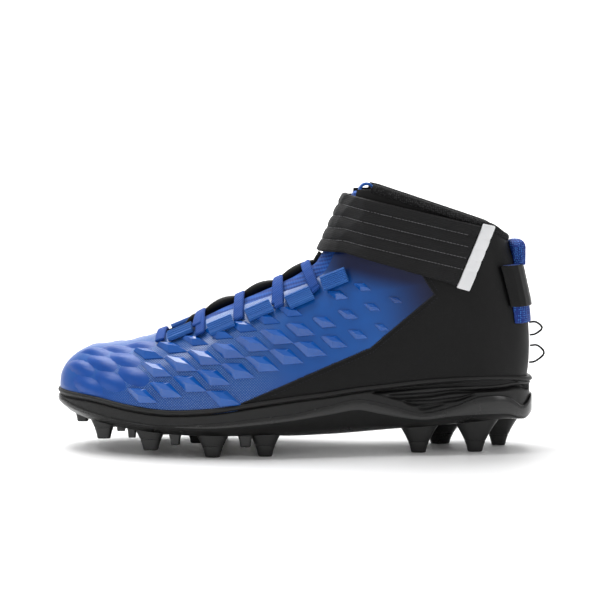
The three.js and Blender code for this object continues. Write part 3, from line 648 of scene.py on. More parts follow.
def last_spot(y, z, side, grow):
    """A point of the last at one place, height and side. Past the heel's centre it follows the round back."""
    if y > HEEL_CENTRE:
        bend = min(1, (y - HEEL_CENTRE) / (heel_back(z, grow) - HEEL_CENTRE))
        half = last_half(HEEL_CENTRE, z, grow) * cap(bend)
        return np.array([last_centre(HEEL_CENTRE, z) + side * half, y, z])
    half = last_half(y, z, grow) * front_closing(y, grow)
    return np.array([last_centre(y, z) + side * half, y, z])


def last_ring(y, bend, grow, wall_steps):
    """One section of the last, from the middle underneath up the outer side and down the inner one."""
    closing = front_closing(y, grow) * cap(bend)
    low = bed_at(y) - grow
    high = ridge_at(y, grow)
    top = min(high, COLUMN_TOP + grow)
    radius = min(FEATHER_RADIUS, 0.5 * (top - low))

    def seat(z):
        place = HEEL_CENTRE + (heel_back(z, grow) - HEEL_CENTRE) * bend if bend > 0 else y
        return [last_half(y, z, grow) * closing, place, z, last_centre(y, z)]

    def corner(z):
        spot = seat(z)
        turn = 1 - min(1, (z - low) / radius)
        spot[0] = max(0, spot[0] - min(radius, spot[0]) * (1 - math.sqrt(1 - turn * turn)))
        return spot

    steps = [[0] + corner(low)[1:]]
    for i in range(CORNER_STEPS):
        steps.append(corner(low + radius * (1 - math.cos(math.pi / 2 * i / CORNER_STEPS))))
    rise = (high - low - radius) / (high - low)
    start = math.asin(min(1, (1 - rise) ** (VAMP_POWER / 2)))
    end = math.asin(min(1, ((top - low) / (high - low)) ** (VAMP_POWER / 2)))
    for i in range(wall_steps + 1):
        turn = start + (end - start) * i / wall_steps
        steps.append(seat(low + (high - low) * math.sin(turn) ** (2 / VAMP_POWER)))
    steps.append([0] + seat(top)[1:])
    ring = [(c + h, y_, z_) for h, y_, z_, c in steps]
    ring += [(c - h, y_, z_) for h, y_, z_, c in reversed(steps[1:-1])]
    return ring


# Meshes
def mesh_object(name, points, faces):
    """An object from points in metres."""
    mesh = bpy.data.meshes.new(name)
    mesh.from_pydata([tuple(p) for p in points], [], faces)
    mesh.update()
    return linked(name, mesh)


def new_object(name, points, faces, finishes=(), smooth=0):
    """An object from points in the shoe's own millimetres."""
    made = mesh_object(name, placed(points), faces)
    weld(made)
    for finish in finishes:
        made.data.materials.append(FINISHES[finish])
    if smooth:
        shade(made, smooth)
    return made


def weld(obj, distance=0.02):
    """Merges doubles, closes what is degenerate and turns the faces outwards."""
    form = bmesh.new()
    form.from_mesh(obj.data)
    bmesh.ops.remove_doubles(form, verts=form.verts, dist=distance * MM)
    bmesh.ops.dissolve_degenerate(form, edges=form.edges, dist=distance * MM / 2)
    bmesh.ops.recalc_face_normals(form, faces=form.faces)
    form.to_mesh(obj.data)
    form.free()


def only(obj):
    bpy.ops.object.select_all(action="DESELECT")
    obj.select_set(True)
    bpy.context.view_layer.objects.active = obj


def shade(obj, angle):
    only(obj)
    bpy.ops.object.shade_smooth_by_angle(angle=math.radians(angle))


def apply(obj, kind, **settings):
    modifier = obj.modifiers.new("shape", kind)
    for key, value in settings.items():
        setattr(modifier, key, value)
    only(obj)
    bpy.ops.object.modifier_apply(modifier=modifier.name)


def cut(target, tool, how="DIFFERENCE"):
    apply(target, "BOOLEAN", operation=how, solver="MANIFOLD", object=tool)
    bpy.data.objects.remove(tool)
    return target


def ring_faces(rings, size, flat_ends=False):
    faces = []
    for r in range(rings - 1):
        for i in range(size):
            a, b = r * size + i, r * size + (i + 1) % size
            faces.append((a, b, b + size, a + size))
    if flat_ends:
        faces.append(tuple(range(size - 1, -1, -1)))
        faces.append(tuple((rings - 1) * size + i for i in range(size)))
    return faces


def last_form(grow, toe_steps=34, middle_steps=130, heel_steps=40, wall_steps=30):
    rings = []
    for i in range(toe_steps):
        y = TOE_CENTRE - (TOE_CAP - UPPER_INSET + grow) * math.cos(math.pi / 2 * i / toe_steps)
        rings.append(last_ring(y, 0, grow, wall_steps))
    for i in range(middle_steps):
        rings.append(last_ring(mix(TOE_CENTRE, HEEL_CENTRE, i / middle_steps), 0, grow, wall_steps))
    for i in range(heel_steps + 1):
        rings.append(last_ring(HEEL_CENTRE, math.sin(math.pi / 2 * i / heel_steps), grow, wall_steps))
    points = [p for ring in rings for p in ring]
    return new_object("form", points, ring_faces(len(rings), len(rings[0])))


def side_prism(outline):
    """A prism across the shoe from an outline of (y, z) points."""
    points = [(x, y, z) for x in (-BALL_WIDTH, BALL_WIDTH) for y, z in outline]
    return new_object("prism", points, ring_faces(2, len(outline), flat_ends=True))


def throat_half(y):
    """Half of the throat's opening, with its round front."""
    into = min(1, max(0, y - THROAT_FRONT) / THROAT_ROUND)
    return THROAT_HALF * math.sqrt(max(0.02, 1 - (1 - into) ** 2))


def throat_strip(steps=60):
    back = place_of(0.67)
    top = 2 * COLLAR_HEIGHT
    points = []
    for i in range(steps + 1):
        y = mix(THROAT_FRONT, back, (i / steps) ** 1.6)
        low = min(ridge_at(y, 0), 0.72 * COLLAR_HEIGHT) - THROAT_DEPTH
        left, right = last_centre(y, low) - throat_half(y), last_centre(y, low) + throat_half(y)
        points += [(right, y, low), (right, y, top), (left, y, top), (left, y, low)]
    return new_object("throat", points, ring_faces(steps + 1, 4, flat_ends=True))


def slab(inset, low_at, high_at, steps=90):
    """A slab of the sole's outline between two heights."""
    points = []
    for i in range(steps + 1):
        y = station(i / steps, inset)
        half, centre = plan_half(y, inset), outline_centre(y)
        points += [(centre + half, y, low_at(y)), (centre + half, y, high_at(y))]
        points += [(centre - half, y, high_at(y)), (centre - half, y, low_at(y))]
    return new_object("slab", points, ring_faces(steps + 1, 4))


# Chart of the upper: distance along the foot's outline, and up the wall of the section, in metres
CHART_ZERO = 48
CHART_LEVEL = 44
ARC_STEPS = 48


@lru_cache(None)
def wall_line(step):
    """Heights and lengths up one section of the upper, from the feather edge to the ridge."""
    y = float(min(max(step, int(TOE) + 4), int(HEEL_CENTRE)))
    low, high = bed_at(y), ridge_at(y, 0.0)
    turns = [math.pi / 2 * i / ARC_STEPS for i in range(ARC_STEPS + 1)]
    heights = [low + (high - low) * math.sin(turn) ** (2 / VAMP_POWER) for turn in turns]
    spots = [last_spot(y, z, 1, 0.0) for z in heights]
    lengths = [0.0]
    for a, b in zip(spots, spots[1:]):
        lengths.append(lengths[-1] + math.hypot(b[0] - a[0], b[2] - a[2]))
    zero = np.interp(CHART_ZERO, heights, lengths)
    return heights, [v - zero for v in lengths]


def between_sections(y, read):
    """Reads the sections in front of y and behind it, and mixes what they say."""
    low = math.floor(y)
    return mix(read(*wall_line(low)), read(*wall_line(low + 1)), y - low)


def foot_length():
    """Length round the outline from the middle of the foot to each place along it."""
    ys = [TOE + UPPER_INSET + 0.5 * i for i in range(2 * SOLE_LENGTH - 10)]
    halves = [last_spot(y, CHART_LEVEL, 1, 0.0)[0] for y in ys]
    lengths = [0.0]
    for i in range(1, len(ys)):
        lengths.append(lengths[-1] + math.hypot(ys[i] - ys[i - 1], halves[i] - halves[i - 1]))
    middle = np.interp(0.0, ys, lengths)
    return ys, [v - middle for v in lengths]


FOOT_YS, FOOT_LENGTHS = foot_length()


def chart_of(y, z):
    up = between_sections(y, lambda heights, lengths: np.interp(z, heights, lengths))
    return np.interp(y, FOOT_YS, FOOT_LENGTHS), up


def give_chart(obj):
    layer = obj.data.uv_layers.new(name="chart")
    spots = [(Vector(v.co) - MIDDLE) / MM for v in obj.data.vertices]
    chart = [chart_of(p.y, p.z) for p in spots]
    for loop in obj.data.loops:
        layer.data[loop.index].uv = [c * MM for c in chart[loop.vertex_index]]


# Upper
SHELL_EDGE = [
    (2 * TOE, 0),
    (place_of(0.36), 0),
    (place_of(0.39), 0.7 * RIM_HEIGHT),
    (place_of(0.655), 0.41 * COLLAR_HEIGHT),
    (place_of(0.785), 0.61 * COLLAR_HEIGHT),
    (place_of(0.72), 0.8 * COLLAR_HEIGHT),
    (2 * TOE, 0.8 * COLLAR_HEIGHT),
]
COLLAR_BREAK = place_of(0.665)
FOOT_OPENING = 12
LINING_HEIGHT = 55
LINING_FACING = 0.06


def inside(outline, y, z):
    hit = False
    for (ay, az), (by, bz) in zip(outline, outline[1:] + outline[:1]):
        if (az > z) != (bz > z) and y < ay + (z - az) / (bz - az) * (by - ay):
            hit = not hit
    return hit


def collar_line(y):
    line = COLLAR_HEIGHT - max(0, y - COLLAR_BREAK) * COLLAR_SLOPE
    return mix(line, COLLAR_BACK, ramp(place_of(0.9), place_of(0.955), y))


def collar_outline(steps=40):
    outline = [(2 * TOE, collar_line(0.0)), (place_of(0.6), collar_line(0.0))]
    ys = [place_of(0.6 + 0.4 * i / steps) for i in range(1, steps + 1)]
    outline += [(y, collar_line(y)) for y in ys]
    return outline + [(2 * HEEL, COLLAR_BACK), (2 * HEEL, 2 * COLLAR_HEIGHT), (2 * TOE, 2 * COLLAR_HEIGHT)]


def faces_inward(face, spot):
    heart = Vector((last_centre(spot.y, spot.z), min(spot.y, HEEL_CENTRE - 10), min(spot.z, LINING_HEIGHT)))
    return face.normal.dot(heart - spot) > LINING_FACING * (heart - spot).length


def build_upper():
    upper = last_form(0.0)
    above_rim = slab(-FEATHER_RADIUS, lambda y: rim_at(y) + GAP, lambda y: 2 * COLLAR_HEIGHT)
    shell = cut(last_form(SHELL_STEP), side_prism(SHELL_EDGE), "INTERSECT")
    cut(upper, cut(shell, above_rim, "INTERSECT"), "UNION")
    cut(upper, last_form(-UPPER_WALL))
    cut(upper, side_prism(collar_outline()))
    cut(upper, throat_strip())
    under = [lambda y: bed_at(y) - FEATHER_RADIUS, lambda y: bed_at(y) + FEATHER_RADIUS]
    cut(upper, slab(FOOT_OPENING + UPPER_INSET, *under))
    upper.name = "upper_shell"
    weld(upper, 0.01)
    upper.data.materials.clear()
    for finish in ("blue_shell", "black_quarter", "black_knit"):
        upper.data.materials.append(FINISHES[finish])
    for face in upper.data.polygons:
        spot = (face.center - MIDDLE) / MM
        if faces_inward(face, spot):
            face.material_index = 2
        elif not inside(SHELL_EDGE, spot.y, spot.z):
            face.material_index = 1
    give_chart(upper)
    shade(upper, 32)
    return upper


# Midsole's side: a seam below the rim, a bead above it, and a step behind the brace, whose line is given
# by place and height. The ribs of the heel lie between grooves.
SEAM_DROP = (3.6, 2.6)
SEAM_DEPTH = 1.2
SEAM_WIDTH = 0.55
BEAD_DROP = 1.3
BEAD_RISE = 0.7
BEAD_WIDTH = 1.1
BRACE_YS = (40, 49, 56, 67.5, 78)
BRACE_ZS = (41.5, 38.6, 36.8, 33.0, 28.0)
BRACE_STEP = 1.0
GROOVE_DEPTH = 2.5
GROOVES = [
    {"ys": (49, 82, 126, 143), "zs": (39.9, 42.4, 44.3, 44.3), "wide": (1.5, 0.9, 0.8, 1.0)},
    {"ys": (59, 82, 96, 113, 141), "zs": (36.2, 37.3, 39.2, 39.8, 40.2), "wide": (1.6, 1.5, 1.2, 1.0, 1.2)},
    {"ys": (68, 82, 100, 109), "zs": (32.4, 32.6, 34.6, 37.2), "wide": (1.6, 1.5, 1.3, 0.7)},
    {"ys": (77, 82, 91), "zs": (29.4, 29.8, 31.6), "wide": (1.4, 1.4, 0.7)},
]
ROUND_THE_HEEL = 140


def side_relief(y, z):
    """How far the midsole's side is set in at one place and height."""
    top = rim_at(y)
    seam = top - mix(*SEAM_DROP, share_of(y))
    deep = SEAM_DEPTH * math.exp(-((z - seam) / SEAM_WIDTH) ** 2)
    deep -= BEAD_RISE * math.exp(-((z - top + BEAD_DROP) / BEAD_WIDTH) ** 2)
    behind = 1 - ramp(-1.2, -0.4, z - seam)
    if y <= BRACE_YS[-1]:
        brace = np.interp(y, BRACE_YS, BRACE_ZS)
        behind *= ramp(-0.6, 0.6, z - brace) * ramp(41, 46, y)
    deep += BRACE_STEP * behind
    for groove in GROOVES:
        start, end = groove["ys"][0], groove["ys"][-1]
        if not start - 3 <= y <= end + 6:
            continue
        middle = np.interp(y, groove["ys"], groove["zs"])
        wide = np.interp(y, groove["ys"], groove["wide"])
        window = ramp(start - 2, start + 1, y)
        if end < ROUND_THE_HEEL:
            window *= 1 - ramp(end - 4, end + 4, y)
        deep += GROOVE_DEPTH * window * math.exp(-((z - middle) / wide) ** 4) * behind
    return deep


def profile_loft(name, profile, finishes, steps, smooth=40):
    """A closed solid from a side profile: pairs of functions of y, for the inset and the height."""
    points = []
    for i in range(steps + 1):
        ring = []
        for inset_at, z_at in profile:
            inset = inset_at(station(i / steps, 0))
            y = station(i / steps, inset)
            ring.append((plan_half(y, inset), y, z_at(y), outline_centre(y)))
        points += [(c + h, y, z) for h, y, z, c in ring]
        points += [(c - h, y, z) for h, y, z, c in reversed(ring)]
    return new_object(name, points, ring_faces(steps + 1, 2 * len(profile)), finishes, smooth)


HIDDEN_INSET = 14


def build_midsole(rows=64):
    def row(k):
        def height(y):
            return mix(wave_at(y) - 1.2, rim_at(y) - 0.35, k / (rows - 1))

        return (lambda y: 1.1 + side_relief(y, height(y)), height)

    profile = [(lambda y: HIDDEN_INSET, lambda y: wave_at(y) - 2.0)]
    profile += [row(k) for k in range(rows)]
    profile += [
        (lambda y: 1.2, lambda y: rim_at(y)),
        (lambda y: 2.4, lambda y: rim_at(y) + 0.05),
        (lambda y: HIDDEN_INSET, lambda y: rim_at(y) - 1),
    ]
    midsole = profile_loft("midsole_side", profile, ["midsole_foam"], 210)
    cut(midsole, last_form(GAP, 20, 60, 20, 16))
    weld(midsole, 0.01)
    shade(midsole, 40)
    return midsole


# Wall of the plate: inset, share of the way from its edge up to the wave, and what is added to that height
PLATE_WALL = table(
    "inset share rise",
    (1.6, 0, -1.0),
    (0.8, 0, -0.3),
    (0.4, 0, 0.5),
    (0.35, 0.35, 0),
    (0.45, 0.65, 0),
    (0.6, 1, -0.9),
    (0.85, 1, -0.25),
    (1.4, 1, 0),
    (3.4, 1, -0.4),
    (HIDDEN_INSET, 1, -2.6),
)
UNDER_ROWS = 14
SHADED_FACES_DOWN = -0.4


def build_plate():
    def under(share):
        """Under the plate, from its edge to the middle: sinks towards the keel."""
        return (
            lambda y: mix(3.0, max(outline_half(y) - 0.5, 4), share),
            lambda y: mix(edge_at(y) - 1.6, keel_at(y), rounded(1 - share, 2.2) ** 0.9),
        )

    def wall(inset, share, rise):
        return (lambda y: inset, lambda y: mix(edge_at(y), wave_at(y), share) + rise)

    profile = [under(1 - k / UNDER_ROWS) for k in range(UNDER_ROWS)]
    profile += [wall(**row) for row in PLATE_WALL]
    plate = profile_loft("plate", profile, ["plate_gloss", "plate_under"], 190)
    # Faces that point down take the underside finish, painted near black as shade under the plate.
    for face in plate.data.polygons:
        face.material_index = 1 if face.normal.z < SHADED_FACES_DOWN else 0
    return plate


# Studs: heights above the foot and insets there, with the step where the tip meets the moulding. A small
# stud has no tip. Above these the stud widens into the plate.
TIP_SECTIONS = [
    (0, 3), (0, 0.5), (0.25, 0.2), (0.8, 0), (2, 0), (4, 0),
    (6.2, 0), (6.7, 0.05), (6.8, 0.3), (7.2, 0.3), (7.3, 0),
]
SMALL_SECTIONS = [(0, 2), (0, 0.4), (0.25, 0.2), (0.8, 0)]
TIP_CLEAR = 8.5
SMALL_CLEAR = 2
SHANK_STEPS = 9
STUD_HALF_LENGTH = 4.6
STUD_HALF_WIDTH = 3.3
STUD_FROM_EDGE = 7.3
STUD_LEAN = 0.12
STUD_FLARE = 1.8
STUD_FULL_HEIGHT = 18
STUD_SQUARENESS = 3.6
STUD_SIDES = 28


def stud_sections(at, side, lift, size):
    """Points of one stud from its foot up into the plate, and how many sections they make."""
    y = place_of(at)
    foot = lift * RIM_HEIGHT
    reach = edge_at(y) + 0.2 * (wave_at(y) - edge_at(y)) - foot
    x = outline_centre(y) + side * plan_half(y, STUD_FROM_EDGE)
    small = lift > 0.15 and size < 0.9
    sections = SMALL_SECTIONS if small else TIP_SECTIONS
    clear = SMALL_CLEAR if small else TIP_CLEAR
    sections = sections + [(mix(clear, reach, k / SHANK_STEPS), 0) for k in range(SHANK_STEPS + 1)]
    points = []
    for level, inset in sections:
        height = min(level, reach)
        spread = size * (1 + STUD_FLARE * (height / STUD_FULL_HEIGHT) ** 1.5)
        long = STUD_HALF_LENGTH * spread - inset * min(size, 1)
        wide = STUD_HALF_WIDTH * spread - inset * min(size, 1)
        middle = x - side * STUD_LEAN * height
        for k in range(STUD_SIDES):
            turn = 2 * math.pi * k / STUD_SIDES
            c, s = math.cos(turn), math.sin(turn)
            squared = (abs(c) ** STUD_SQUARENESS + abs(s) ** STUD_SQUARENESS) ** (-1 / STUD_SQUARENESS)
            points.append((middle + wide * s * squared, y + long * c * squared, foot + height))
    return points, len(sections)


def build_stud(name, at, side, lift, size, tipped):
    points, sections = stud_sections(at, side, lift, size)
    faces = ring_faces(sections, STUD_SIDES, flat_ends=True)
    stud = new_object("stud_" + name, points, faces, ["stud_black"], 38)
    declare(stud, "plate_plastic", *(["stud_tip_" + name] if tipped else []))


def declare(piece, slot, *stands_for):
    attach(piece, "root")
    if stands_for:
        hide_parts(*stands_for)


upper = build_upper()
declare(upper, "upper_shell", "upper")
declare(build_midsole(), "midsole_foam", "midsole")
declare(build_plate(), "plate_plastic", "outsole_plate")
for row in STUDS:
    build_stud(**row)

# Soft pieces: the solid is remeshed in cells of a size in millimetres, and smoothed for some rounds
SOFT_PIECES = table(
    "node name finish slot voxel rounds",
    ("insole", "insole_cover", "insole_cloth", "insole_cloth", 1.4, 3),
    ("tongue", "tongue_cover", "tongue_cloth", "tongue_mesh", 1.1, 4),
    ("ankle_strap", "strap_band", "strap_elastic", "strap_elastic", 0.8, 3),
    ("strap_end_tab", "strap_tab", "white_tab", "tab_plastic", 0.5, 3),
    ("heel_pull", "heel_pull_tube", "pull_mesh", "webbing", 0.6, 5),
    ("heel_pull_sleeve", "heel_sleeve", "black_quarter", "black_knit", 0.6, 3),
    ("tongue_pull_tab", "tongue_tab_loop", "loop_webbing", "webbing", 0.5, 3),
    ("heel_cord_upper", "heel_cord_upper_braid", "black_knit", "black_knit", 0.35, 1),
    ("heel_cord_lower", "heel_cord_lower_braid", "black_knit", "black_knit", 0.35, 1),
)
LACES = ["lace_bar_front"] + ["lace_crossing_%d" % i for i in range(1, 5)]
LACE_SWELL = 0.5


def soften(node, name, finish, slot, voxel, rounds):
    """A copy of a solid with its edges worn round, as cloth has them."""
    made = nodes[node].copy()
    made.data = nodes[node].data.copy()
    made.name = name
    bpy.context.scene.collection.objects.link(made)
    made.data.materials.clear()
    made.data.materials.append(FINISHES[finish])
    weld(made)
    apply(made, "REMESH", mode="VOXEL", voxel_size=voxel * MM)
    apply(made, "SMOOTH", factor=0.5, iterations=rounds)
    shade(made, 50)
    declare(made, slot, node)
    return made


def tree_of(obj):
    return BVHTree.FromPolygons([v.co for v in obj.data.vertices], [p.vertices for p in obj.data.polygons])


def strap_top(y):
    return STRAP_TOP - STRAP_SLOPE * max(0, y - STRAP_BEND)


def crown_panels(obj, depth):
    """Swells the strap's panels between their stitched lines."""
    normals = [Vector(v.normal) for v in obj.data.vertices]
    for vertex, normal in zip(obj.data.vertices, normals):
        spot = (vertex.co - MIDDLE) / MM
        outward = Vector((spot.x, spot.y - ANKLE_MIDDLE, 0)).normalized()
        row = (strap_top(spot.y) - spot.z) / STRAP_WIDTH * STRAP_RIBS
        if normal.dot(outward) >= 0.5 and 0.3 < row < STRAP_RIBS - 0.3:
            vertex.co += outward * depth * MM * (abs(math.sin(math.pi * row)) ** 0.5 - 1)


soft = {row["node"]: soften(**row) for row in SOFT_PIECES}
crown_panels(soft["ankle_strap"], 0.9)
crown_panels(soft["strap_end_tab"], 0.5)
for node in LACES:
    lace = soften(node, node + "_woven", "lace_weave", "lace_cord", 0.35, 2)
    apply(lace, "DISPLACE", strength=LACE_SWELL * MM, mid_level=0)
    apply(lace, "SMOOTH", factor=0.5, iterations=6)


# Forms that repeat are modelled once, in millimetres, and laid where they belong
def start_form(add, stretch, **settings):
    """A primitive, stretched and left in edit mode."""
    bpy.ops.object.select_all(action="DESELECT")
    add(**settings)
    form = bpy.context.active_object
    bpy.ops.object.mode_set(mode="EDIT")
    bpy.ops.transform.resize(value=stretch)
    return form


def pick(form, kind, test):
    """Selects, in edit mode, the faces or edges that a test names."""
    mesh = bmesh.from_edit_mesh(form.data)
    for element in list(mesh.faces) + list(mesh.edges) + list(mesh.verts):
        element.select = False
    for element in getattr(mesh, kind):
        if test(element):
            element.select_set(True)
    bmesh.update_edit_mesh(form.data)


def reshape(form, change):
    """Calls change, in edit mode, on each point of the form."""
    mesh = bmesh.from_edit_mesh(form.data)
    for vertex in mesh.verts:
        change(vertex)
    bmesh.update_edit_mesh(form.data)


def extrude(x, y, z):
    bpy.ops.mesh.extrude_region_move(TRANSFORM_OT_translate={"value": (x, y, z)})


def taken(form):
    """The form's points and faces, and the form is put away."""
    bpy.ops.object.mode_set(mode="OBJECT")
    points = np.array([v.co for v in form.data.vertices])
    faces = [tuple(p.vertices) for p in form.data.polygons]
    bpy.data.objects.remove(form)
    return points, faces


def top(face):
    return face.normal.z > 0.9


def upright(edge):
    a, b = edge.verts
    return abs(a.co.z - b.co.z) > 0.1


# Crest of a scale: shares of its length and width by which it is shifted, and that it keeps
CREST_SHIFT = (-0.07, 0.13)
CREST_SIZE = (0.62, 0.34)
CREST_FALL = 0.42
SCALE_FOOT = 0.25


def scale_form(long, wide, high):
    """A kite of hard film with its ridge from tip to tip, a little above the middle."""
    add = bpy.ops.mesh.primitive_cylinder_add
    form = start_form(add, (long / 2, wide / 2, 1), vertices=4, radius=1, depth=1)
    pick(form, "edges", upright)
    bpy.ops.mesh.bevel(offset=0.05 * wide, segments=2)
    pick(form, "faces", top)
    bpy.ops.transform.translate(value=(0, 0, SCALE_FOOT * high - 0.5))
    extrude(CREST_SHIFT[0] * long, CREST_SHIFT[1] * wide, (1 - SCALE_FOOT) * high)
    bpy.ops.transform.resize(value=(*CREST_SIZE, 1))

    def tip_crest(vertex):
        if vertex.select:
            vertex.co.z -= CREST_FALL * (vertex.co.y - CREST_SHIFT[1] * wide)

    reshape(form, tip_crest)
    return taken(form)


def pillow_form(long, wide, high, rows=5):
    """A soft low swelling of the toe's film."""
    add = bpy.ops.mesh.primitive_cylinder_add
    form = start_form(add, (long / 2, wide / 2, 1), vertices=16, radius=1, depth=1)
    pick(form, "faces", top)
    bpy.ops.transform.translate(value=(0, 0, -0.5))
    radii = [1 - 0.88 * k / rows for k in range(rows + 1)]
    for a, b in zip(radii, radii[1:]):
        extrude(0, 0, high * ((1 - b * b) ** 1.5 - (1 - a * a) ** 1.5))
        bpy.ops.transform.resize(value=(b / a, b / a, 1))
    return taken(form)


LOOP_RIBS = 6
LOOP_OVERHANG = 1.6
LOOP_CORNER = 1.2
LOOP_HOLLOW = 0.6
RIB_DEPTH = 0.4


def loop_form():
    """A flat tube of webbing with ribs along it and open ends."""
    size = (LOOP_LENGTH + LOOP_OVERHANG, LOOP_WIDTH, LOOP_HEIGHT - 0.6)
    form = start_form(bpy.ops.mesh.primitive_cube_add, size, size=1)
    pick(form, "edges", lambda edge: abs(edge.verts[0].co.x - edge.verts[1].co.x) > 1)
    bpy.ops.mesh.bevel(offset=LOOP_CORNER, segments=3)
    span = LOOP_WIDTH - 3
    lines = 2 * LOOP_RIBS - 1
    for k in range(lines):
        bpy.ops.mesh.select_all(action="SELECT")
        bpy.ops.mesh.bisect(plane_co=(0, span * ((k + 0.5) / lines - 0.5), 0), plane_no=(0, 1, 0))

    def sink_rib(vertex):
        line = (vertex.co.y / span + 0.5) * lines - 0.5
        if vertex.co.z > 1 and abs(line - round(line)) < 0.01 and round(line) % 2 == 0:
            vertex.co.z -= RIB_DEPTH

    def hollow_end(vertex):
        if vertex.select:
            vertex.co.x *= LOOP_HOLLOW

    reshape(form, sink_rib)
    pick(form, "faces", lambda face: abs(face.normal.x) > 0.9)
    bpy.ops.mesh.inset(thickness=0.7)
    extrude(0, 0, 0)
    reshape(form, hollow_end)
    return taken(form)


def stitch_form(long, wide, high):
    """One stitch of thread."""
    add = bpy.ops.mesh.primitive_uv_sphere_add
    return taken(start_form(add, (long / 2, wide / 2, high), segments=8, ring_count=5, radius=1))


def joined(name, pieces, finish, slot, smooth):
    points, faces, start = [], [], 0
    for piece_points, piece_faces in pieces:
        points.extend(piece_points)
        faces += [tuple(i + start for i in face) for face in piece_faces]
        start += len(piece_points)
    made = mesh_object(name, points, faces)
    made.data.materials.append(FINISHES[finish])
    only(made)
    bpy.ops.object.mode_set(mode="EDIT")
    bpy.ops.mesh.select_all(action="SELECT")
    bpy.ops.mesh.normals_make_consistent(inside=False)
    bpy.ops.object.mode_set(mode="OBJECT")
    shade(made, smooth)
    declare(made, slot)
    return made


# Scales of the shell: a slanted lattice of steps along the foot and up the wall. In front of the pillow
# zone they are soft swellings.
SCALE_SIZE = (23, 10.4, 2.9)
PILLOW_SIZE = (21, 12, 1.5)
SCALE_ANCHOR = (3.6, 77.6)
SCALE_STEP_BACK = (14.5, 4.2)
SCALE_STEP_UP = (-5.9, 12.3)
STEPS_BACK = range(-14, 9)
STEPS_UP = range(-8, 11)
SCALE_TILT = math.radians(21)
PILLOW_ZONE = -92
TOE_BARE = 12
RIM_BARE = 4.5
RIDGE_BARE = 3
THROAT_BARE = 10
STRAP_BARE = 48
EDGE_REACH = 8

upper_tree = tree_of(upper)


def spot_up_wall(y, length, side):
    """A point of the shell, from its place along the foot and the length up the wall."""
    z = between_sections(y, lambda heights, lengths: np.interp(length, lengths, heights))
    return last_spot(y, z, side, SHELL_STEP)


def laid_on_shell(form, y, length, side, size):
    """A form laid on the shell, each of its points at its own height above it."""
    points, faces = form
    c, s = math.cos(SCALE_TILT), math.sin(SCALE_TILT)
    laid = []
    for u, v, h in points * size:
        spot = spot_up_wall(y + u * c + v * s, length - u * s + v * c, side)
        place, normal, _, _ = upper_tree.find_nearest(Vector(placed(spot)[0]))
        laid.append(place + normal * (h * MM))
    return laid, faces


def throat_clearance(spot):
    """Distance across the shoe from the throat's edge."""
    if spot[1] < THROAT_FRONT - 8:
        return 99
    return abs(spot[0] - last_centre(spot[1], spot[2])) - throat_half(spot[1])


def clear_of_edge(y, z, reach):
    around = ((1, -0.5), (0.4, 0.6), (0, -0.6))
    return all(inside(SHELL_EDGE, y + a * reach, z + b * reach) for a, b in around)


def scale_seat(y, length, side):
    """Height of a scale's place and its distance from the throat, or nothing where the shell is bare."""
    if not TOE + TOE_BARE < y < place_of(0.75) or length > wall_line(round(y))[1][-1] - RIDGE_BARE:
        return None
    spot = spot_up_wall(y, length, side)
    free = throat_clearance(spot)
    if spot[2] < rim_at(y) + RIM_BARE or free < THROAT_BARE:
        return None
    return spot[2], free


def lay_scales():
    scale = scale_form(*SCALE_SIZE)
    pillow = pillow_form(*PILLOW_SIZE)
    _, zero = chart_of(*SCALE_ANCHOR)
    scales, pillows = [], []
    lattice = [(side, i, j) for side in (1, -1) for i in STEPS_BACK for j in STEPS_UP]
    for side, i, j in lattice:
        y = SCALE_ANCHOR[0] + SCALE_STEP_BACK[0] * i + SCALE_STEP_UP[0] * j
        length = zero + SCALE_STEP_BACK[1] * i + SCALE_STEP_UP[1] * j
        seat = scale_seat(y, length, side)
        if seat is None:
            continue
        z, free = seat
        if y < PILLOW_ZONE:
            pillows.append(laid_on_shell(pillow, y, length, side, 1))
            continue
        size = mix(0.7, 1, ramp(11, 19, free)) * mix(0.9, 1, ramp(PILLOW_ZONE, -70, y))
        size *= mix(1, 0.45, ramp(5, 70, y))
        if z <= strap_top(y) - STRAP_BARE and clear_of_edge(y, z, EDGE_REACH * size):
            scales.append(laid_on_shell(scale, y, length, side, size))
    joined("shell_scales", scales, "scale_film", "upper_shell", 12)
    joined("toe_pillows", pillows, "toe_film", "upper_shell", 60)


lay_scales()


# Lace loops
def frame_of(node):
    """Middle and axes of a flat solid: along it, across it and out of it."""
    points = np.array([v.co for v in nodes[node].data.vertices])
    middle = (points.min(axis=0) + points.max(axis=0)) / 2
    _, _, axes = np.linalg.svd(points - points.mean(axis=0), full_matrices=False)
    along, out = axes[0], axes[2]
    along = along * (1 if along[1] > 0 else -1)
    out = out * (1 if out[2] > 0 else -1)
    return middle, np.array([along, np.cross(out, along), out])


def lay_loops():
    points, faces = loop_form()
    for side in ("outer", "inner"):
        for i in range(1, 6):
            node = "lace_loop_%s_%d" % (side, i)
            middle, axes = frame_of(node)
            laid = middle + points @ axes * MM
            loop = joined(node + "_webbing", [(laid, faces)], "loop_webbing", "webbing", 30)
            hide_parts(node)


lay_loops()


# Stitches
def stitched(form, spots, tree, rise, every, twist=0.0):
    """Stitches laid at even steps along a line on a piece's surface."""
    points, faces = form
    seats = []
    for spot in spots:
        place, normal, _, _ = tree.find_nearest(Vector(placed(spot)[0]))
        seats.append((place + normal * rise * MM, normal))
    pieces, walked = [], 0.0
    for (a, normal), (b, _) in zip(seats, seats[1:]):
        step = (b - a).length / MM
        walked += step
        if walked < every or step < 1e-3:
            continue
        walked = 0.0
        along = (Matrix.Rotation(twist, 3, normal) @ (b - a)).normalized()
        basis = Matrix((along, normal.cross(along).normalized(), normal)).transposed()
        pieces.append(([a + basis @ Vector(p) * MM for p in points], faces))
    return pieces


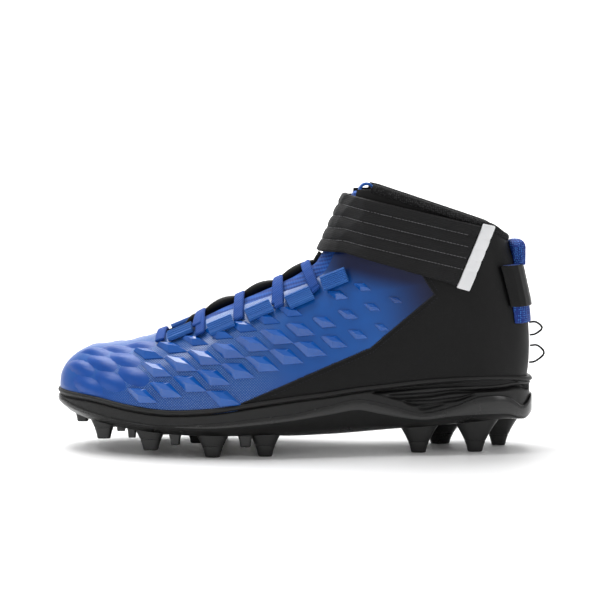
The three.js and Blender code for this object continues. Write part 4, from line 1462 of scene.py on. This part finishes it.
def edge_line(shift, steps=5):
    """Points along the shell's rear edge, set back by shift, so many to a millimetre."""
    corners = SHELL_EDGE[2:6]
    points = []
    for (ay, az), (by, bz) in zip(corners, corners[1:]):
        span = math.hypot(by - ay, bz - az)
        back, down = (bz - az) / span * shift, (ay - by) / span * shift
        count = int(steps * span)
        points += [(mix(ay, by, k / count) + back, mix(az, bz, k / count) + down) for k in range(count)]
    return points


# Rows of stitches along the shell's edge: size of one, how far back, length of a step and twist
EDGE_ROWS = table(
    "name size shift every twist",
    ("edge_stitching", (2.3, 1.0, 0.55), 0.3, 1.5, 0.5),
    ("second_seam", (1.2, 0.6, 0.3), 2.8, 2.0, 0.0),
)
STRAP_STITCH = (2.3, 0.45, 0.25)
STRAP_STITCH_STEP = 1.9
STRAP_TURN = (-238, 62)
STRAP_RAYS = 900
RAY_START = 120


def sew_shell():
    for row in EDGE_ROWS:
        form = stitch_form(*row["size"])
        pieces = []
        for side in (1, -1):
            spots = [last_spot(y, z, side, SHELL_STEP) for y, z in edge_line(row["shift"])]
            pieces += stitched(form, spots, upper_tree, 0.1, row["every"], row["twist"])
        joined(row["name"], pieces, "dark_thread", "upper_shell", 40)


def strap_line(row, tree):
    """Points of a line between two of the strap's panels, from behind round the front of the ankle."""
    spots = []
    y = 100.0
    for k in range(STRAP_RAYS):
        turn = math.radians(mix(*STRAP_TURN, k / (STRAP_RAYS - 1)))
        direction = Vector((math.cos(turn), math.sin(turn), 0))
        for _ in range(4):
            height = strap_top(y) - STRAP_WIDTH * row / STRAP_RIBS
            origin = Vector((0, ANKLE_MIDDLE, height)) + direction * RAY_START
            hit, _, _, _ = tree.ray_cast(Vector(placed(origin)[0]), -direction)
            if hit is None:
                break
            y = (hit - MIDDLE).y / MM
        if hit is not None and y < STRAP_END - TAB_LENGTH - 1:
            spots.append(tuple((hit - MIDDLE) / MM))
    return spots


def sew_strap():
    stitch = stitch_form(*STRAP_STITCH)
    tree = tree_of(soft["ankle_strap"])
    pieces = []
    for row in range(1, STRAP_RIBS):
        pieces += stitched(stitch, strap_line(row, tree), tree, 0.05, STRAP_STITCH_STEP)
    joined("strap_stitching", pieces, "grey_thread", "strap_elastic", 40)


sew_shell()
sew_strap()

# Padded rolls: the knit round the collar and the black edge of the tongue, which swells between the laces
COLLAR_ROLL = 2.9
COLLAR_ROLL_RISE = 0.6
TONGUE_ROLL = 3.2
TONGUE_ROLL_ENDS = (-70, 17)
TONGUE_ROLL_SIDE = 9
TONGUE_ROLL_SINK = 2.2
TONGUE_ROLL_SWELL = 2.4
TONGUE_LEVEL = 60
LACE_PITCH = 23.4
LACE_VALLEY = -34
ROLL_STEPS = 120


def lay_roll(name, spots, radii, finish):
    curve = bpy.data.curves.new(name, "CURVE")
    curve.dimensions = "3D"
    curve.bevel_depth = MM
    curve.bevel_resolution = 5
    curve.use_fill_caps = True
    spline = curve.splines.new("POLY")
    spline.points.add(len(spots) - 1)
    for point, place, radius in zip(spline.points, placed(spots), radii):
        point.co = (*place, 1)
        point.radius = radius
    only(linked(name, curve))
    bpy.ops.object.convert(target="MESH")
    roll = bpy.context.active_object
    roll.data.materials.clear()
    roll.data.materials.append(FINISHES[finish])
    weld(roll)
    shade(roll, 60)
    declare(roll, "black_knit")


def lay_collar():
    spots = []
    for k in range(ROLL_STEPS + 1):
        turn = math.pi * mix(-0.5, 0.5, k / ROLL_STEPS)
        y = mix(place_of(0.66), heel_back(COLLAR_BACK) - 1.6, math.cos(turn) ** 0.8)
        spots.append(last_spot(y, collar_line(y) + COLLAR_ROLL_RISE, 1 if turn > 0 else -1, -1))
    lay_roll("collar_roll", spots, [COLLAR_ROLL] * len(spots), "black_knit")


def lay_tongue_edge():
    spots, radii = [], []
    for k in range(ROLL_STEPS + 1):
        y = mix(*TONGUE_ROLL_ENDS, k / ROLL_STEPS)
        swell = abs(math.sin(math.pi * (y - LACE_VALLEY) / LACE_PITCH)) ** 0.8
        end = ramp(0, 0.1, k / ROLL_STEPS)
        rise = TONGUE_ROLL_SWELL * swell * end - TONGUE_ROLL_SINK
        spots.append((last_centre(y, TONGUE_LEVEL) - TONGUE_ROLL_SIDE, y, ridge_at(y, 0) + rise))
        radii.append(TONGUE_ROLL * (0.5 + 0.5 * swell) * (0.3 + 0.7 * end))
    lay_roll("tongue_edge", spots, radii, "black_quarter")


lay_collar()
lay_tongue_edge()

# Floor, in metres
FLOOR_SIZE = 12
FLOOR_FORWARD = 3
FLOOR_DROP = 0.0002
FLOOR_RISE = 6
FLOOR_BEND = 1.6


def add_floor():
    """A white sweep that curves up behind the shoe."""
    floor = Finish("floor", 0.2)
    mottle = floor.noise(3, 2)
    white = floor.mix(mottle, (0.93, 0.93, 0.93, 1), (0.95, 0.95, 0.95, 1))
    floor.wear(colour=white, roughness=0.55 + mottle * 0.05)
    bpy.ops.object.select_all(action="DESELECT")
    bpy.ops.mesh.primitive_plane_add(size=FLOOR_SIZE, location=(FLOOR_FORWARD, 0, -FLOOR_DROP))
    sweep = bpy.context.active_object
    sweep.name = "floor"
    bpy.ops.object.mode_set(mode="EDIT")
    far = 0.1 - FLOOR_SIZE / 2
    pick(sweep, "edges", lambda edge: all(v.co.x < far for v in edge.verts))
    extrude(0, 0, FLOOR_RISE)
    pick(sweep, "edges", lambda edge: all(v.co.x < far and v.co.z < 1 for v in edge.verts))
    bpy.ops.mesh.bevel(offset=FLOOR_BEND, segments=16)
    bpy.ops.object.mode_set(mode="OBJECT")
    sweep.data.materials.append(floor.material)
    shade(sweep, 60)


add_floor()
